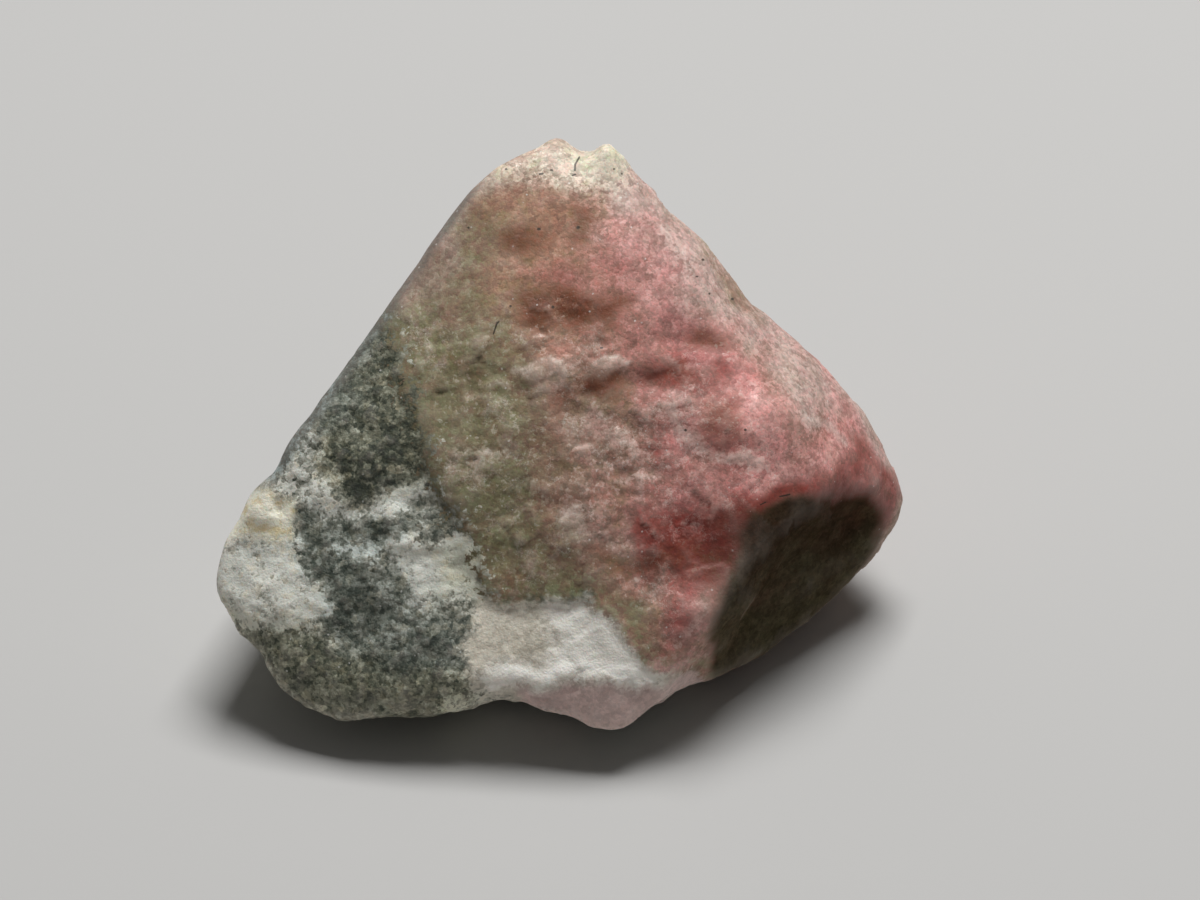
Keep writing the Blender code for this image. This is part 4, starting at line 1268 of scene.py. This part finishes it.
mottle_push = times(less(mottle, 0.5), between(masks["vein"], 0.2, 0.8, 2.1, 0.7))
grain_push = times(less(speckle, 0.5), between(masks["vein"], 0.2, 0.8, 2.0, 0.3))
coarse_edge = plus(masks["rock"], mottle_push)
boundary = plus(coarse_edge, grain_push)
colour = mix(between(boundary, -0.20, 0.20), tugtupite, rock)
seam = times(
    between(maths("ABSOLUTE", plus(coarse_edge, 0.10)), 0.26, 0.04),
    masks["seam"],
    between(clots, 0.40, 0.56),
    between(plus(speckle, fine), 0.85, 1.10),
    0.80,
)
colour = mix(seam, colour, SEAM_GREEN)
print("minerals joined")

# %% [markdown]
# ### Facet, darker hollows and specks
#
# The broken facet under the tip is darkened. Partly it is a duller olive-brown surface, where the break has
# gone through weathered material, and mostly it is painted shade, with painted shadow under the ridge across
# its top. The straight parting at the upper left is greyer than the rest. The hollows are darker and browner,
# and the crests are rubbed pale. Last come the dark specks and the few thin needles.

# %% Facet with painted shade, parting, darker hollows and worn crests
# the facet's olive-brown, made very dark as painted shade
FACET_BROWNS_AND_SHADE = (0.036, 0.032, 0.017), (0.064, 0.059, 0.032)
RIDGE_SHADOW_TINT, PARTING_TINT = (0.50, 0.37, 0.33), (0.33, 0.40, 0.43)
HOLLOW_BROWN, RUBBED = (0.15, 0.090, 0.052), (0.84, 0.74, 0.66)

# painted shadow under the ridge, laid over the top of the facet
facet = washed(mix(between(mottle, 0.35, 0.65), *FACET_BROWNS_AND_SHADE), masks["ridge_shadow"], RIDGE_SHADOW_TINT)
colour = mix(times(broken("facet_brown_and_shade", 1.6), 0.92), colour, toned(facet, grain_tone))
colour = washed(colour, times(masks["straight"], 0.95), PARTING_TINT)
# darker and browner in the hollows, measured from the relief alone
hollow_darkening = times(masks["hollow"], between(blotches, 0.40, 0.60), between(masks["rose"], 0.1, 0.7, 0.28, 0.10))
colour = mix(hollow_darkening, colour, HOLLOW_BROWN)
colour = mix(times(masks["crest"], 0.16), colour, RUBBED)
print("facet, parting and dirt ready")

# %% Dark specks and needles
MARKS = [  # (across, up, turn in degrees, half length, half width)
    (-3.33, 3.88, 72.0, 0.19, 0.028), (-3.25, 4.05, 50.0, 0.04, 0.03), (-2.85, 4.58, 0.0, 0.0, 0.045),
    (-0.72, 9.28, 62.0, 0.12, 0.035), (-0.80, 9.05, 88.0, 0.10, 0.035), (-0.83, 8.80, 20.0, 0.05, 0.03),
    (-1.55, 8.95, 0.0, 0.02, 0.035), (-1.88, 8.83, 10.0, 0.04, 0.04), (-3.0, 8.98, 0.0, 0.01, 0.04),
    (-3.45, 9.1, 20.0, 0.04, 0.04), (-0.42, 9.66, 30.0, 0.05, 0.035), (0.7, 8.85, 0.0, 0.0, 0.035),
    (0.45, 9.0, 0.0, 0.01, 0.03), (2.72, 0.63, 0.0, 0.0, 0.05), (4.62, 0.64, 0.0, 0.0, 0.05),
    (4.25, 4.85, 0.0, 0.01, 0.045), (3.3, 6.1, 0.0, 0.01, 0.045), (3.5, 5.0, 0.0, 0.0, 0.04),
    (3.1, 5.55, 0.0, 0.02, 0.03), (-1.95, 7.05, 0.0, 0.02, 0.05), (-0.7, 7.1, 20.0, 0.01, 0.06),
    (-1.5, 4.55, 0.0, 0.0, 0.06), (-4.2, 7.1, 0.0, 0.0, 0.04), (0.05, 3.25, 0.0, 0.02, 0.04),
    (-5.5, -1.1, 0.0, 0.03, 0.06), (5.9, -1.45, 12.0, 0.16, 0.03), (5.2, -1.7, 25.0, 0.09, 0.025),
]
NEEDLE_BLACK = (0.025, 0.022, 0.015)

specks = 0.0
for across, up, turn, half_length, half_width in MARKS:
    mark = use(tree, mark_group, Place=here, Middle=(across, up, 0.0), Turn=math.radians(turn),
               Half_length=half_length, Half_width=half_width)["Mask"]
    specks = maths("MAXIMUM", specks, mark)
colour = mix(times(specks, masks["front"], 0.85), colour, NEEDLE_BLACK)
print(len(MARKS), "marks")

# %% [markdown]
# ### Gloss, glow and fine bump
#
# Broken tugtupite is waxy rather than shiny. A glint here and there, where a crystal face would catch the
# lamp, is a painted highlight: the middles of a few grains are painted near-white. Roughness is broken up by
# the mottling, these same few grains are made much smoother, and a little subsurface scattering lets light
# bleed through the pale parts as it does in the real mineral. The facet is dull, so it hardly shines at all.
# The finest relief is a bump, stronger on the rock than on the tugtupite.

# %% Roughness and glints
GLINT_WHITE = (0.92, 0.90, 0.86)

glints = use(tree, grains_group, Place=here, Per_mm=9.0, Stray=0.05, Stray_per_mm=8.0)
glint = times(
    between(glints["Tone"], 0.982, 0.990),  # a few grains only
    between(glints["Top"], 0.62, 0.80),  # and only their middles
    less(1.0, masks["facet_brown_and_shade"]),
)
# painted highlights: the glinting grain middles are painted near-white
colour = mix(times(glint, 0.50), colour, GLINT_WHITE)
roughness = less(between(blotches, 0.35, 0.65, 0.66, 0.48), times(glint, 0.34))
print("glints ready")

# %% Bump, scattering and the shader
BUMP_REACH = 0.00004  # metres

relief = plus(
    times(fine, 0.7),
    times(dust, 0.25),
    times(big_grains["Top"], 0.25),
    times(small_grains["Top"], 0.15),
    times(patches, 1.6),
)
bump = add(tree, "ShaderNodeBump", {
    "Height": relief, "Strength": between(masks["rock"], -0.2, 0.2, 0.6, 1.0), "Distance": BUMP_REACH,
})
fill(shader, {
    "Base Color": colour, "Roughness": roughness, "Normal": bump.outputs["Normal"],
    "Specular IOR Level": between(masks["facet_brown_and_shade"], 0.0, 1.0, 0.45, 0.0),
    "IOR": 1.5, "Subsurface Weight": 0.18, "Subsurface Radius": (1.0, 0.55, 0.4), "Subsurface Scale": 0.0007,
})
print("material ready:", len(tree.nodes), "nodes")
